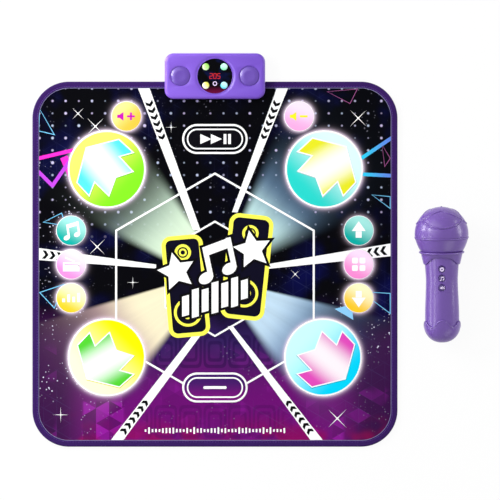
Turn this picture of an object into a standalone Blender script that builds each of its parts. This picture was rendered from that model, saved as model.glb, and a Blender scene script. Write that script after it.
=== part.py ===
"""Electronic dance mat with its host box, and the toy microphone that lies beside it.

Metres, +Z up. The origin is the middle of the mat's underside. +Y points to the host box on the
mat's rear edge, and the microphone lies on the +X side. The mat is built of thin layers that
stop at the fold line, and everything in front of that line folds up over the rear half.
"""
import math

import bmesh
import bpy
from mathutils import Matrix, Vector
from mathutils.geometry import tessellate_polygon

# General clearances
GAP = 0.0003
CUT_MARGIN = 0.002
SCREW_RADIUS = 0.0015
SCREW_HOLE_RADIUS = 0.0018

# Mat outline and edge binding
MAT_WIDTH = 0.800
MAT_DEPTH = 0.800
MAT_CORNER_RADIUS = 0.0803
BINDING_WIDTH = 0.0142
BINDING_WALL = 0.0010

# Mat layers, from the floor up
BACKING_THICKNESS = 0.0012
FILM_THICKNESS = 0.0006
FOAM_THICKNESS = 0.0050
COVER_THICKNESS = 0.0008

# Keys: size, and distance of each centre from the mat's edges
ARROW_PAD_RADIUS = 0.0855
ARROW_SIDE_INSET = 0.163
ARROW_REAR_INSET = 0.192
ARROW_RIGHT_SHIFT = 0.0024
ARROW_FRONT_INSET = 0.196
ROUND_KEY_RADIUS = 0.033
VOLUME_LEFT_INSET = 0.206
VOLUME_RIGHT_INSET = 0.2155
VOLUME_REAR_INSET = 0.076
SIDE_KEY_INSET = 0.085
SIDE_KEY_PITCH = 0.0739
SIDE_KEY_MIDDLE_Y = -0.0002
PILL_WIDTH = 0.1435
PILL_DEPTH = 0.0657
START_REAR_INSET = 0.1257
PAUSE_FRONT_INSET = 0.1298
KEY_TRAVEL = 0.0015
KEY_PROUD = 0.0003
CONTACT_HEIGHT = 0.0006
CONTACT_INSET = 0.008
ARROW_SEGMENTS = 36
KEY_SEGMENTS = 24
WINDOW_SEGMENTS = 36

# Host box
HOST_WIDTH = 0.220
HOST_DEPTH = 0.100
HOST_OVERLAP = 0.038
HOST_CORNER_RADIUS = 0.020
HOST_EDGE_RADIUS = 0.007
HOST_RISE = 0.0255
HOST_WALL = 0.0022
HOST_TOP_WALL = 0.0034
TUB_FLOOR = 0.0020
TUB_CLEARANCE = 0.0006
FOOT_HEIGHT = 0.0012
FOOT_WIDTH = 0.150
FOOT_DEPTH = 0.0040
FOOT_REAR_INSET = 0.0046

# Window, lamps and buttons on the host box
WINDOW_RADIUS = 0.038
WINDOW_DISH_RADIUS = 0.045
WINDOW_DISH_DEPTH = 0.0020
LENS_FLANGE = 0.0025
LAMP_RADIUS = 0.0077
LAMP_OFFSET_X = 0.0200
LAMP_OFFSET_Y = 0.0203
LAMP_WEB = 0.0012
LAMP_WEB_MARGIN = 0.0090
POWER_RADIUS = 0.0058
POWER_OFFSET_Y = -0.0165
POWER_TRAVEL = 0.0010
SIDE_BUTTON_RADIUS = 0.0210
SIDE_BUTTON_OFFSET_X = 0.0756
SIDE_BUTTON_CROWN = 0.0026
SIDE_BUTTON_TRAVEL = 0.0020
BUTTON_FLANGE = 0.0020
BUTTON_FLANGE_THICKNESS = 0.0012
BUTTON_STEM_RADIUS = 0.0030

# Control board and what sits on it
BOARD_WIDTH = 0.168
BOARD_FRONT_INSET = 0.022
BOARD_REAR_INSET = 0.010
BOARD_THICKNESS = 0.0016
BOARD_DROP = 0.0115
SWITCH_SIZE = 0.006
SWITCH_HEIGHT = 0.0030
DISPLAY_WIDTH = 0.030
DISPLAY_DEPTH = 0.015
DISPLAY_CLEARANCE = 0.0010
DISPLAY_OFFSET_Y = 0.0050
CONNECTOR_WIDTH = 0.022
CONNECTOR_HEIGHT = 0.0040
CONNECTOR_DEPTH = 0.0055
CHIP_SIZE = 0.010
CHIP_HEIGHT = 0.0015
STANDOFF_RADIUS = 0.0028

# Clamp under the mat's rear edge
CLAMP_WIDTH = 0.208
CLAMP_DEPTH = 0.030
CLAMP_SCREW_INSET = 0.011
CLAMP_SCREW_X = 0.080
SCREW_HEAD_RADIUS = 0.0032
SCREW_HEAD_HEIGHT = 0.0009
BOSS_RADIUS = 0.0040
CLAMP_SCREW_LENGTH = 0.018
TAIL_WIDTH = 0.016
TAIL_THICKNESS = 0.0004
TAIL_OFFSET = 0.0030
TAIL_SLOT_DEPTH = 0.0030
SHELL_SCREW_X = 0.0905
SHELL_SCREW_REAR_INSET = 0.0175
SHELL_SCREW_LENGTH = 0.015

# Batteries, door and speaker in the host box
BATTERY_RADIUS = 0.00725
BATTERY_LENGTH = 0.0505
BATTERY_PITCH = 0.0149
BATTERY_CENTRE_X = -0.050
CONTACT_PLATE = 0.0005
BAY_RIB = 0.0015
BAY_RIB_HEIGHT = 0.0120
DOOR_WIDTH = 0.058
DOOR_DEPTH = 0.047
DOOR_CENTRE_X = -0.0545
DOOR_SCREW_INSET = 0.004
SPEAKER_CENTRE_X = 0.055
SPEAKER_RADIUS = 0.020
SPEAKER_RIM = 0.0018
SPEAKER_BASKET_HEIGHT = 0.0068
MAGNET_RADIUS = 0.0110
MAGNET_HEIGHT = 0.0050
GRILLE_SLOT_WIDTH = 0.0022
GRILLE_SLOT_LENGTH = 0.026
GRILLE_PITCH = 0.0050
GRILLE_SLOTS = 5

# Microphone, measured along its own axis from the base
MIC_X = 0.4979
MIC_BASE_Y = -0.1711
MIC_TURN = math.radians(0.48)
MIC_LENGTH = 0.2982
MIC_HEAD_RADIUS = 0.0590
MIC_WALL = 0.0022
MIC_RIM_RADIUS = 0.0598
MIC_RIM_FROM_TOP = 0.0690
MIC_RIM_HEIGHT = 0.0040
MIC_CONE_HEIGHT = 0.0281
MIC_CONE_RADIUS = 0.0456
MIC_COLLAR_RADIUS = 0.0500
MIC_COLLAR_RING = 0.0040
MIC_COLLAR_HEIGHT = 0.0200
MIC_COLLAR_NECK_RADIUS = 0.0404
MIC_COLLAR_WAVE = 0.0085
MIC_COLLAR_WAVES = 2
MIC_HANDLE_RADIUS = 0.0350
MIC_HANDLE_BASE_RADIUS = 0.0375
MIC_HANDLE_WAIST = 0.141
MIC_HANDLE_SWELL = 0.085
MIC_CAP_RADIUS = 0.0398
MIC_CAP_HEIGHT = 0.0395
MIC_CAP_WAVE = 0.0075
MIC_CAP_WAVES = 5
MIC_CAP_ROUND = 0.0370
MIC_CAP_SHELL = 0.0015
MIC_SPIGOT_RADIUS = 0.0330
MIC_SPIGOT_LENGTH = 0.0095
MIC_BUTTON_RADIUS = 0.0066
MIC_BUTTON_FROM_TOP = 0.1340
MIC_BUTTON_PITCH = 0.0203
MIC_BUTTON_TRAVEL = 0.0010
MIC_BUTTON_PROUD = 0.0010
MIC_BOARD_DEPTH = 0.0225
MIC_BOARD_LENGTH = 0.110
MIC_BOARD_THICKNESS = 0.0016
MIC_BATTERY_RADIUS = 0.0092
MIC_BATTERY_LENGTH = 0.065
MIC_CAPSULE_RADIUS = 0.0080
MIC_CAPSULE_HEIGHT = 0.0100
MIC_POST_HEIGHT = 0.0300
MIC_SEGMENTS = 32
MIC_WAVE_SEGMENTS = 48
MIC_BUTTON_SEGMENTS = 16

# Heights and places that follow from the sizes above
HALF_WIDTH = MAT_WIDTH / 2
HALF_DEPTH = MAT_DEPTH / 2
FOLD_Y = SIDE_KEY_MIDDLE_Y - SIDE_KEY_PITCH / 2
FILM_LOW = BACKING_THICKNESS + GAP
FILM_HIGH = FILM_LOW + FILM_THICKNESS
FOAM_LOW = FILM_HIGH + GAP
FOAM_HIGH = FOAM_LOW + FOAM_THICKNESS
COVER_LOW = FOAM_HIGH + GAP
COVER_HIGH = COVER_LOW + COVER_THICKNESS
BINDING_HIGH = COVER_HIGH + GAP + BINDING_WALL
KEY_TOP = COVER_HIGH + KEY_PROUD
HOST_FRONT_Y = HALF_DEPTH - HOST_OVERLAP
HOST_REAR_Y = HOST_FRONT_Y + HOST_DEPTH
HOST_CENTRE_Y = (HOST_FRONT_Y + HOST_REAR_Y) / 2
HOST_LOW = COVER_HIGH + GAP
HOST_TOP = HOST_LOW + HOST_RISE
HOST_CEILING = HOST_TOP - HOST_TOP_WALL
TUB_LOW = FOOT_HEIGHT + GAP
TUB_FLOOR_HIGH = TUB_LOW + TUB_FLOOR
TUB_HIGH = HOST_LOW - GAP
TUB_FRONT_Y = HALF_DEPTH + TUB_CLEARANCE
LENS_HIGH = HOST_TOP - WINDOW_DISH_DEPTH
FLANGE_HIGH = HOST_CEILING - GAP
LENS_LOW = FLANGE_HIGH - LENS_FLANGE
BOARD_HIGH = HOST_CEILING - BOARD_DROP + BOARD_THICKNESS
BOARD_LOW = BOARD_HIGH - BOARD_THICKNESS
BOARD_FRONT_Y = HOST_FRONT_Y + BOARD_FRONT_INSET
BOARD_REAR_Y = HOST_REAR_Y - BOARD_REAR_INSET
CLAMP_SCREW_Y = HOST_FRONT_Y + CLAMP_SCREW_INSET
CLAMP_SCREW_XS = (-CLAMP_SCREW_X, CLAMP_SCREW_X)
SHELL_SCREW_Y = HOST_REAR_Y - SHELL_SCREW_REAR_INSET
TAIL_Y = BOARD_FRONT_Y - TAIL_OFFSET
BATTERY_Z = TUB_FLOOR_HIGH + GAP + BATTERY_RADIUS

# Colours of the plain materials
PURPLE_PLASTIC = (0.19, 0.11, 0.58)
MIC_PURPLE = (0.17, 0.09, 0.38)
BINDING_PURPLE = (0.05, 0.012, 0.16)
BLACK_PRINT = (0.01, 0.008, 0.03)
FOAM_GREY = (0.25, 0.25, 0.27)
FILM_AMBER = (0.55, 0.42, 0.20)
BACKING_GREY = (0.05, 0.05, 0.06)
STEEL_GREY = (0.55, 0.56, 0.58)
BOARD_GREEN = (0.02, 0.18, 0.07)
LENS_BLACK = (0.01, 0.01, 0.03)
CHIP_BLACK = (0.02, 0.02, 0.02)
RUBBER_BLACK = (0.03, 0.03, 0.03)
LAMP_GREEN = (0.60, 0.95, 0.40)
BATTERY_COLOUR = (0.10, 0.30, 0.60)
CONE_GREY = (0.10, 0.10, 0.11)
PAD_YELLOW = (0.85, 0.85, 0.10)
PAD_CYAN = (0.10, 0.75, 0.75)
PAD_LIME = (0.70, 0.80, 0.20)
PAD_SKY = (0.10, 0.70, 0.90)
KEY_ORANGE = (0.95, 0.60, 0.20)
KEY_PINK = (0.90, 0.45, 0.75)
KEY_TEAL = (0.20, 0.75, 0.70)
KEY_NAVY = (0.02, 0.02, 0.07)


def make_material(name, colour, roughness=0.5, metallic=0.0):
    """Principled material with one plain colour."""
    made = bpy.data.materials.new(name)
    made.use_nodes = True
    shader = made.node_tree.nodes["Principled BSDF"]
    shader.inputs["Base Color"].default_value = (*colour, 1.0)
    shader.inputs["Roughness"].default_value = roughness
    shader.inputs["Metallic"].default_value = metallic
    return made


def add_piece(name, shape, colour, roughness=0.5, metallic=0.0, carrier=None):
    """Turn a bmesh into a named object with its own material."""
    bmesh.ops.recalc_face_normals(shape, faces=shape.faces)
    mesh = bpy.data.meshes.new(name)
    shape.to_mesh(mesh)
    shape.free()
    mesh.shade_smooth()
    mesh.set_sharp_from_angle(angle=math.radians(35))
    mesh.materials.append(make_material(name, colour, roughness, metallic))
    piece = bpy.data.objects.new(name, mesh)
    bpy.context.scene.collection.objects.link(piece)
    piece.parent = carrier
    return piece


def add_cutter(name, shape, carrier=None):
    """A hidden guide shape for a Boolean."""
    bmesh.ops.recalc_face_normals(shape, faces=shape.faces)
    mesh = bpy.data.meshes.new(name)
    shape.to_mesh(mesh)
    shape.free()
    guide = bpy.data.objects.new(name, mesh)
    guide.hide_render = True
    guide.display_type = 'WIRE'
    bpy.context.scene.collection.objects.link(guide)
    guide.parent = carrier
    return guide


def combine(piece, guide, operation):
    """Cut or join a guide shape on a piece."""
    step = piece.modifiers.new(f"{operation.lower()}_{guide.name}", 'BOOLEAN')
    step.operation = operation
    step.solver = 'EXACT'
    step.object = guide


def circle(radius, segments, centre=(0.0, 0.0)):
    """Points of a circle, anticlockwise."""
    angles = [2 * math.pi * step / segments for step in range(segments)]
    return [(centre[0] + radius * math.cos(a), centre[1] + radius * math.sin(a)) for a in angles]


def rounded_rectangle(width, depth, radius, centre=(0.0, 0.0), steps=6, square_front=False):
    """Points of a rectangle with round corners, anticlockwise from the rear right corner."""
    points = []
    for quarter, (side_x, side_y) in enumerate(((1, 1), (-1, 1), (-1, -1), (1, -1))):
        corner_x = centre[0] + side_x * (width / 2 - radius)
        corner_y = centre[1] + side_y * (depth / 2 - radius)
        if square_front and side_y < 0:
            points.append((centre[0] + side_x * width / 2, centre[1] - depth / 2))
            continue
        for step in range(steps + 1):
            angle = math.pi / 2 * (quarter + step / steps)
            points.append((corner_x + radius * math.cos(angle), corner_y + radius * math.sin(angle)))
    return points


def rectangle(low_x, low_y, high_x, high_y):
    """Points of a plain rectangle, anticlockwise."""
    return [(low_x, low_y), (high_x, low_y), (high_x, high_y), (low_x, high_y)]


def add_plate(shape, outline, low, high, holes=()):
    """Add a flat plate between two heights, with holes through it."""
    loops = [outline, *holes]
    flat = [point for loop in loops for point in loop]
    triangles = tessellate_polygon([[Vector((x, y, 0.0)) for x, y in loop] for loop in loops])
    bottom = [shape.verts.new((x, y, low)) for x, y in flat]
    top = [shape.verts.new((x, y, high)) for x, y in flat]
    for a, b, c in triangles:
        shape.faces.new((bottom[a], bottom[b], bottom[c]))
        shape.faces.new((top[c], top[b], top[a]))
    start = 0
    for loop in loops:
        for step in range(len(loop)):
            here = start + step
            after = start + (step + 1) % len(loop)
            shape.faces.new((bottom[here], bottom[after], top[after], top[here]))
        start += len(loop)
    return shape


def add_stack(shape, levels):
    """Add a solid through outlines of equal point count, each at its height."""
    rows = [[shape.verts.new((x, y, height)) for x, y in outline] for outline, height in levels]
    shape.faces.new(rows[0])
    shape.faces.new(rows[-1])
    for low, high in zip(rows, rows[1:]):
        for step in range(len(low)):
            after = (step + 1) % len(low)
            shape.faces.new((low[step], low[after], high[after], high[step]))
    return shape


def add_turned(shape, profile, segments, centre=(0.0, 0.0), ring=False, waves=0, wave=0.0):
    """Add a solid turned about a vertical axis from (radius, height, wave share) points.

    A ring's profile is a closed loop. Any other profile starts and ends on the axis.
    """
    rows = []
    for radius, height, *share in profile:
        rise = wave * share[0] if share else 0.0
        if radius == 0.0:
            rows.append([shape.verts.new((centre[0], centre[1], height))])
            continue
        row = []
        for step in range(segments):
            angle = 2 * math.pi * step / segments
            lift = rise * math.cos(waves * (angle + math.pi / 2))
            row.append(shape.verts.new((centre[0] + radius * math.cos(angle),
                                        centre[1] + radius * math.sin(angle),
                                        height + lift)))
        rows.append(row)
    pairs = list(zip(rows, rows[1:]))
    if ring:
        pairs.append((rows[-1], rows[0]))
    for low, high in pairs:
        for step in range(segments):
            after = (step + 1) % segments
            corners = [low[step % len(low)], low[after % len(low)],
                       high[after % len(high)], high[step % len(high)]]
            shape.faces.new(list(dict.fromkeys(corners)))
    return shape


def add_box(shape, low, high):
    """Add a box between two corners."""
    return add_plate(shape, rectangle(low[0], low[1], high[0], high[1]), low[2], high[2])


def half_outline(inset, rear, corner_steps=8):
    """Outline of one half of the mat, drawn in from its edge by an inset."""
    edge_x = HALF_WIDTH - inset
    edge_y = HALF_DEPTH - inset
    radius = MAT_CORNER_RADIUS - inset
    side = 1 if rear else -1
    fold = FOLD_Y + side * GAP / 2
    right = []
    for step in range(corner_steps + 1):
        angle = math.pi / 2 * step / corner_steps
        right.append((edge_x - radius + radius * math.cos(angle),
                      side * (edge_y - radius + radius * math.sin(angle))))
    left = [(-x, y) for x, y in reversed(right)]
    return [(edge_x, fold), *right, *left, (-edge_x, fold)]


def key_outline(centre, style, growth=0.0):
    """Outline of a key, or of the hole that it moves in when growth is given."""
    if style == "pill":
        return rounded_rectangle(PILL_WIDTH + 2 * growth, PILL_DEPTH + 2 * growth,
                                 PILL_DEPTH / 2 + growth - GAP / 10, centre)
    if style == "arrow":
        return circle(ARROW_PAD_RADIUS + growth, ARROW_SEGMENTS, centre)
    return circle(ROUND_KEY_RADIUS + growth, KEY_SEGMENTS, centre)


def key_list():
    """Name, centre, style and colour of every key on the mat."""
    arrow_x = HALF_WIDTH - ARROW_SIDE_INSET
    arrow_rear = HALF_DEPTH - ARROW_REAR_INSET
    arrow_front = ARROW_FRONT_INSET - HALF_DEPTH
    volume_y = HALF_DEPTH - VOLUME_REAR_INSET
    side_x = HALF_WIDTH - SIDE_KEY_INSET
    keys = [
        ("pad_rear_left", (-arrow_x, arrow_rear), "arrow", PAD_YELLOW),
        ("pad_rear_right", (arrow_x + ARROW_RIGHT_SHIFT, arrow_rear), "arrow", PAD_CYAN),
        ("pad_front_left", (-arrow_x, arrow_front), "arrow", PAD_LIME),
        ("pad_front_right", (arrow_x, arrow_front), "arrow", PAD_SKY),
        ("key_volume_up", (VOLUME_LEFT_INSET - HALF_WIDTH, volume_y), "round", KEY_ORANGE),
        ("key_volume_down", (HALF_WIDTH - VOLUME_RIGHT_INSET, volume_y), "round", KEY_PINK),
        ("key_start", (0.0, HALF_DEPTH - START_REAR_INSET), "pill", KEY_NAVY),
        ("key_pause", (0.0, PAUSE_FRONT_INSET - HALF_DEPTH), "pill", KEY_NAVY),
    ]
    rows = (("rear", 1, KEY_TEAL), ("middle", 0, KEY_PINK), ("front", -1, KEY_ORANGE))
    for side, side_name in ((-1, "left"), (1, "right")):
        for row_name, row, colour in rows:
            centre = (side * side_x, SIDE_KEY_MIDDLE_Y + row * SIDE_KEY_PITCH)
            keys.append((f"key_{side_name}_{row_name}", centre, "round", colour))
    return keys


def make_keys():
    """The pressed zones of the mat: a foam disc with a carbon contact under it."""
    low = FILM_HIGH + GAP + KEY_TRAVEL
    for name, centre, style, colour in key_list():
        shape = bmesh.new()
        levels = [(key_outline(centre, style, -CONTACT_INSET), low),
                  (key_outline(centre, style, -CONTACT_INSET), low + CONTACT_HEIGHT),
                  (key_outline(centre, style), low + CONTACT_HEIGHT),
                  (key_outline(centre, style), KEY_TOP)]
        add_stack(shape, levels)
        add_piece(name, shape, colour, 0.6)


def make_layers():
    """Backing, circuit film, foam core and printed cover, each in two halves."""
    channel_inset = BINDING_WALL + GAP
    backing_inset = BINDING_WIDTH + GAP
    screw_holes = [circle(SCREW_HOLE_RADIUS + GAP, 10, (x, CLAMP_SCREW_Y)) for x in CLAMP_SCREW_XS]
    tail_slot = rectangle(-TAIL_WIDTH / 2 - GAP, TAIL_Y - TAIL_SLOT_DEPTH / 2,
                          TAIL_WIDTH / 2 + GAP, TAIL_Y + TAIL_SLOT_DEPTH / 2)
    for half, rear in (("rear", True), ("front", False)):
        outline = half_outline(channel_inset, rear)
        wells = [key_outline(centre, style, GAP) for _, centre, style, _ in key_list()
                 if (centre[1] > FOLD_Y) == rear]
        film_holes = screw_holes if rear else []
        through_holes = [*wells, *screw_holes, tail_slot] if rear else wells

        backing = half_outline(backing_inset, rear)
        if rear:
            backing = notch_for_clamp(backing)
        shape = add_plate(bmesh.new(), backing, 0.0, BACKING_THICKNESS)
        add_piece(f"mat_backing_{half}", shape, BACKING_GREY, 0.9)

        shape = add_plate(bmesh.new(), outline, FILM_LOW, FILM_HIGH, film_holes)
        film = add_piece(f"mat_film_{half}", shape, FILM_AMBER, 0.4)
        if rear:
            combine(film, add_cutter("film_tail", film_tail()), 'UNION')

        shape = add_plate(bmesh.new(), outline, FOAM_LOW, FOAM_HIGH, through_holes)
        add_piece(f"mat_foam_{half}", shape, FOAM_GREY, 0.9)

        shape = add_plate(bmesh.new(), outline, COVER_LOW, COVER_HIGH, through_holes)
        add_piece(f"mat_cover_{half}", shape, BLACK_PRINT, 0.5)


def notch_for_clamp(outline):
    """Outline of the rear backing with room for the clamp plate at its rear edge."""
    notch_x = CLAMP_WIDTH / 2 + GAP
    notch_y = HALF_DEPTH - CLAMP_DEPTH - CUT_MARGIN - GAP
    rear_y = max(y for _, y in outline)
    last_right = max(i for i, (x, y) in enumerate(outline) if x > 0 and y > rear_y - GAP / 10)
    notch = [(notch_x, rear_y), (notch_x, notch_y), (-notch_x, notch_y), (-notch_x, rear_y)]
    return outline[:last_right + 1] + notch + outline[last_right + 1:]


def film_tail():
    """The film's tail, which rises through the foam and bends to the board's connector."""
    bend_z = BOARD_LOW - CONNECTOR_HEIGHT / 2
    front = TAIL_Y - TAIL_THICKNESS / 2
    rear = TAIL_Y + TAIL_THICKNESS / 2
    root = FILM_LOW + FILM_THICKNESS / 2
    side_view = [(front, root), (rear, root), (rear, bend_z - TAIL_THICKNESS),
                 (BOARD_FRONT_Y, bend_z - TAIL_THICKNESS), (BOARD_FRONT_Y, bend_z), (front, bend_z)]
    tail = add_plate(bmesh.new(), side_view, -TAIL_WIDTH / 2, TAIL_WIDTH / 2)
    turn = Matrix(((0.0, 0.0, 1.0), (1.0, 0.0, 0.0), (0.0, 1.0, 0.0)))
    bmesh.ops.transform(tail, matrix=turn.to_4x4(), verts=tail.verts)
    return tail


def make_binding():
    """The edge binding, a channel that wraps the mat's edge from top to bottom.

    Its lips stop at the host box, and only the thin web runs on between the mat and the tub.
    """
    profile = [(0.0, 0.0), (0.0, BINDING_HIGH), (BINDING_WIDTH, BINDING_HIGH),
               (BINDING_WIDTH, BINDING_HIGH - BINDING_WALL),
               (BINDING_WALL, BINDING_HIGH - BINDING_WALL), (BINDING_WALL, BINDING_WALL),
               (BINDING_WIDTH, BINDING_WALL), (BINDING_WIDTH, 0.0)]
    rear = bmesh.new()
    add_channel(rear, [half_outline(inset, True) for inset, _ in profile], profile)
    rear_piece = add_piece("mat_binding_rear", rear, BINDING_PURPLE, 0.7)
    host_x = HOST_WIDTH / 2 + GAP
    web_y = HALF_DEPTH - BINDING_WALL + GAP / 3
    lips_y = HALF_DEPTH - 2 * BINDING_WIDTH
    beyond_y = HALF_DEPTH + CUT_MARGIN
    side_view = [(lips_y, -CUT_MARGIN), (web_y, -CUT_MARGIN), (web_y, TUB_HIGH), (beyond_y, TUB_HIGH),
                 (beyond_y, BINDING_HIGH + CUT_MARGIN), (lips_y, BINDING_HIGH + CUT_MARGIN)]
    notch = add_plate(bmesh.new(), side_view, -host_x, host_x)
    turn = Matrix(((0.0, 0.0, 1.0), (1.0, 0.0, 0.0), (0.0, 1.0, 0.0)))
    bmesh.ops.transform(notch, matrix=turn.to_4x4(), verts=notch.verts)
    combine(rear_piece, add_cutter("binding_notch", notch), 'DIFFERENCE')
    front = bmesh.new()
    add_channel(front, [half_outline(inset, False) for inset, _ in profile], profile)
    add_piece("mat_binding_front", front, BINDING_PURPLE, 0.7)


def add_channel(shape, runs, profile):
    """Add a channel through one run of points for each corner of its profile."""
    rows = []
    for place in range(len(runs[0])):
        rows.append([shape.verts.new((*run[place], height))
                     for run, (_, height) in zip(runs, profile)])
    corners = len(profile)
    for here, after in zip(rows, rows[1:]):
        for step in range(corners):
            following = (step + 1) % corners
            shape.faces.new((here[step], here[following], after[following], after[step]))
    shape.faces.new(rows[0])
    shape.faces.new(rows[-1])


def make_clamp():
    """Steel plate under the mat's rear edge and the two screws that pull the host down on it."""
    front_y = HALF_DEPTH - CLAMP_DEPTH - CUT_MARGIN
    plate = add_box(bmesh.new(), (-CLAMP_WIDTH / 2, front_y, 0.0),
                    (CLAMP_WIDTH / 2, front_y + CLAMP_DEPTH, BACKING_THICKNESS))
    clamp = add_piece("mat_clamp_plate", plate, STEEL_GREY, 0.35, 1.0)
    sinks = bmesh.new()
    for x, side_name in zip(CLAMP_SCREW_XS, ("left", "right")):
        centre = (x, CLAMP_SCREW_Y)
        spread = SCREW_HEAD_RADIUS - SCREW_RADIUS
        slope = spread / SCREW_HEAD_HEIGHT
        below = CUT_MARGIN
        add_turned(sinks, [(0.0, -below), (SCREW_HEAD_RADIUS + GAP + slope * below, -below),
                           (SCREW_RADIUS + GAP, SCREW_HEAD_HEIGHT), (SCREW_RADIUS + GAP, FOAM_LOW),
                           (0.0, FOAM_LOW)], 12, centre)
        screw = add_turned(bmesh.new(), [
            (0.0, GAP / 3), (SCREW_HEAD_RADIUS - slope * GAP / 3, GAP / 3),
            (SCREW_RADIUS, SCREW_HEAD_HEIGHT), (SCREW_RADIUS, CLAMP_SCREW_LENGTH),
            (0.0, CLAMP_SCREW_LENGTH)], 12, centre)
        add_piece(f"clamp_screw_{side_name}", screw, STEEL_GREY, 0.35, 1.0)
    combine(clamp, add_cutter("clamp_sinks", sinks), 'DIFFERENCE')


def host_outline(inset, square_front=False):
    """Outline of the host box, drawn in by an inset."""
    return rounded_rectangle(HOST_WIDTH - 2 * inset, HOST_DEPTH - 2 * inset,
                             max(HOST_CORNER_RADIUS - inset, GAP),
                             (0.0, HOST_CENTRE_Y), square_front=square_front)


def make_host_top():
    """Upper shell of the host box, open below, with its window, button holes and screw bosses."""
    levels = [(host_outline(0.0), HOST_LOW), (host_outline(0.0), HOST_TOP - HOST_EDGE_RADIUS)]
    for step in (1, 2, 3, 4):
        angle = math.pi / 2 * step / 4
        inset = HOST_EDGE_RADIUS * (1 - math.cos(angle))
        rise = HOST_EDGE_RADIUS * math.sin(angle)
        levels.append((host_outline(inset), HOST_TOP - HOST_EDGE_RADIUS + rise))
    top = add_piece("host_top_shell", add_stack(bmesh.new(), levels), PURPLE_PLASTIC, 0.35)

    shoulder = HOST_EDGE_RADIUS / 2
    cavity = add_stack(bmesh.new(), [(host_outline(HOST_WALL), HOST_LOW - CUT_MARGIN),
                                     (host_outline(HOST_WALL), HOST_CEILING - shoulder),
                                     (host_outline(HOST_WALL + shoulder), HOST_CEILING)])
    combine(top, add_cutter("host_cavity", cavity), 'DIFFERENCE')

    bosses = bmesh.new()
    root = HOST_CEILING + HOST_TOP_WALL / 2
    for x in CLAMP_SCREW_XS:
        add_plate(bosses, circle(BOSS_RADIUS, 12, (x, CLAMP_SCREW_Y)), HOST_LOW, root)
    for side in (-1, 1):
        centre = (side * SHELL_SCREW_X, SHELL_SCREW_Y)
        add_plate(bosses, circle(BOSS_RADIUS, 12, centre), HOST_LOW, root)
    for x, y in standoff_places():
        add_plate(bosses, circle(STANDOFF_RADIUS, 8, (x, y)), BOARD_HIGH + GAP, root)
    combine(top, add_cutter("host_bosses", bosses), 'UNION')

    holes = bmesh.new()
    above = HOST_TOP + CUT_MARGIN
    below = HOST_CEILING - CUT_MARGIN
    window = WINDOW_RADIUS + GAP
    slope = (WINDOW_DISH_RADIUS - window) / WINDOW_DISH_DEPTH
    add_turned(holes, [(0.0, below), (window, below), (window, LENS_HIGH),
                       (window + slope * (above - LENS_HIGH), above), (0.0, above)],
               WINDOW_SEGMENTS, (0.0, HOST_CENTRE_Y))
    for side in (-1, 1):
        add_plate(holes, circle(SIDE_BUTTON_RADIUS + GAP, KEY_SEGMENTS,
                                (side * SIDE_BUTTON_OFFSET_X, HOST_CENTRE_Y)), below, above)
    for x in CLAMP_SCREW_XS:
        add_plate(holes, circle(SCREW_HOLE_RADIUS, 8, (x, CLAMP_SCREW_Y)),
                  HOST_LOW - CUT_MARGIN, CLAMP_SCREW_LENGTH + CUT_MARGIN)
    for side in (-1, 1):
        add_plate(holes, circle(SCREW_HOLE_RADIUS, 8, (side * SHELL_SCREW_X, SHELL_SCREW_Y)),
                  HOST_LOW - CUT_MARGIN, SHELL_SCREW_LENGTH + TUB_LOW + CUT_MARGIN)
    combine(top, add_cutter("host_holes", holes), 'DIFFERENCE')


def standoff_places():
    """Centres of the four standoffs that carry the control board."""
    window_edge = WINDOW_RADIUS + LENS_FLANGE
    button_edge = SIDE_BUTTON_OFFSET_X - SIDE_BUTTON_RADIUS - BUTTON_FLANGE
    x = (window_edge + button_edge) / 2
    front = BOARD_FRONT_Y + 2 * STANDOFF_RADIUS
    rear = BOARD_REAR_Y - 2 * STANDOFF_RADIUS
    return [(-x, front), (x, front), (-x, rear), (x, rear)]


def tub_outline(inset):
    """Outline of the lower shell, square where it meets the mat's edge."""
    depth = HOST_REAR_Y - TUB_FRONT_Y - 2 * inset
    return rounded_rectangle(HOST_WIDTH - 2 * inset, depth, max(HOST_CORNER_RADIUS - inset, GAP),
                             (0.0, (HOST_REAR_Y + TUB_FRONT_Y) / 2), square_front=True)


def door_corners(growth):
    """Low and high corners of the battery door, or of its opening when growth is given."""
    centre_y = (HOST_REAR_Y + TUB_FRONT_Y) / 2
    return (rectangle(DOOR_CENTRE_X - DOOR_WIDTH / 2 - growth, centre_y - DOOR_DEPTH / 2 - growth,
                      DOOR_CENTRE_X + DOOR_WIDTH / 2 + growth, centre_y + DOOR_DEPTH / 2 + growth))


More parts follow.
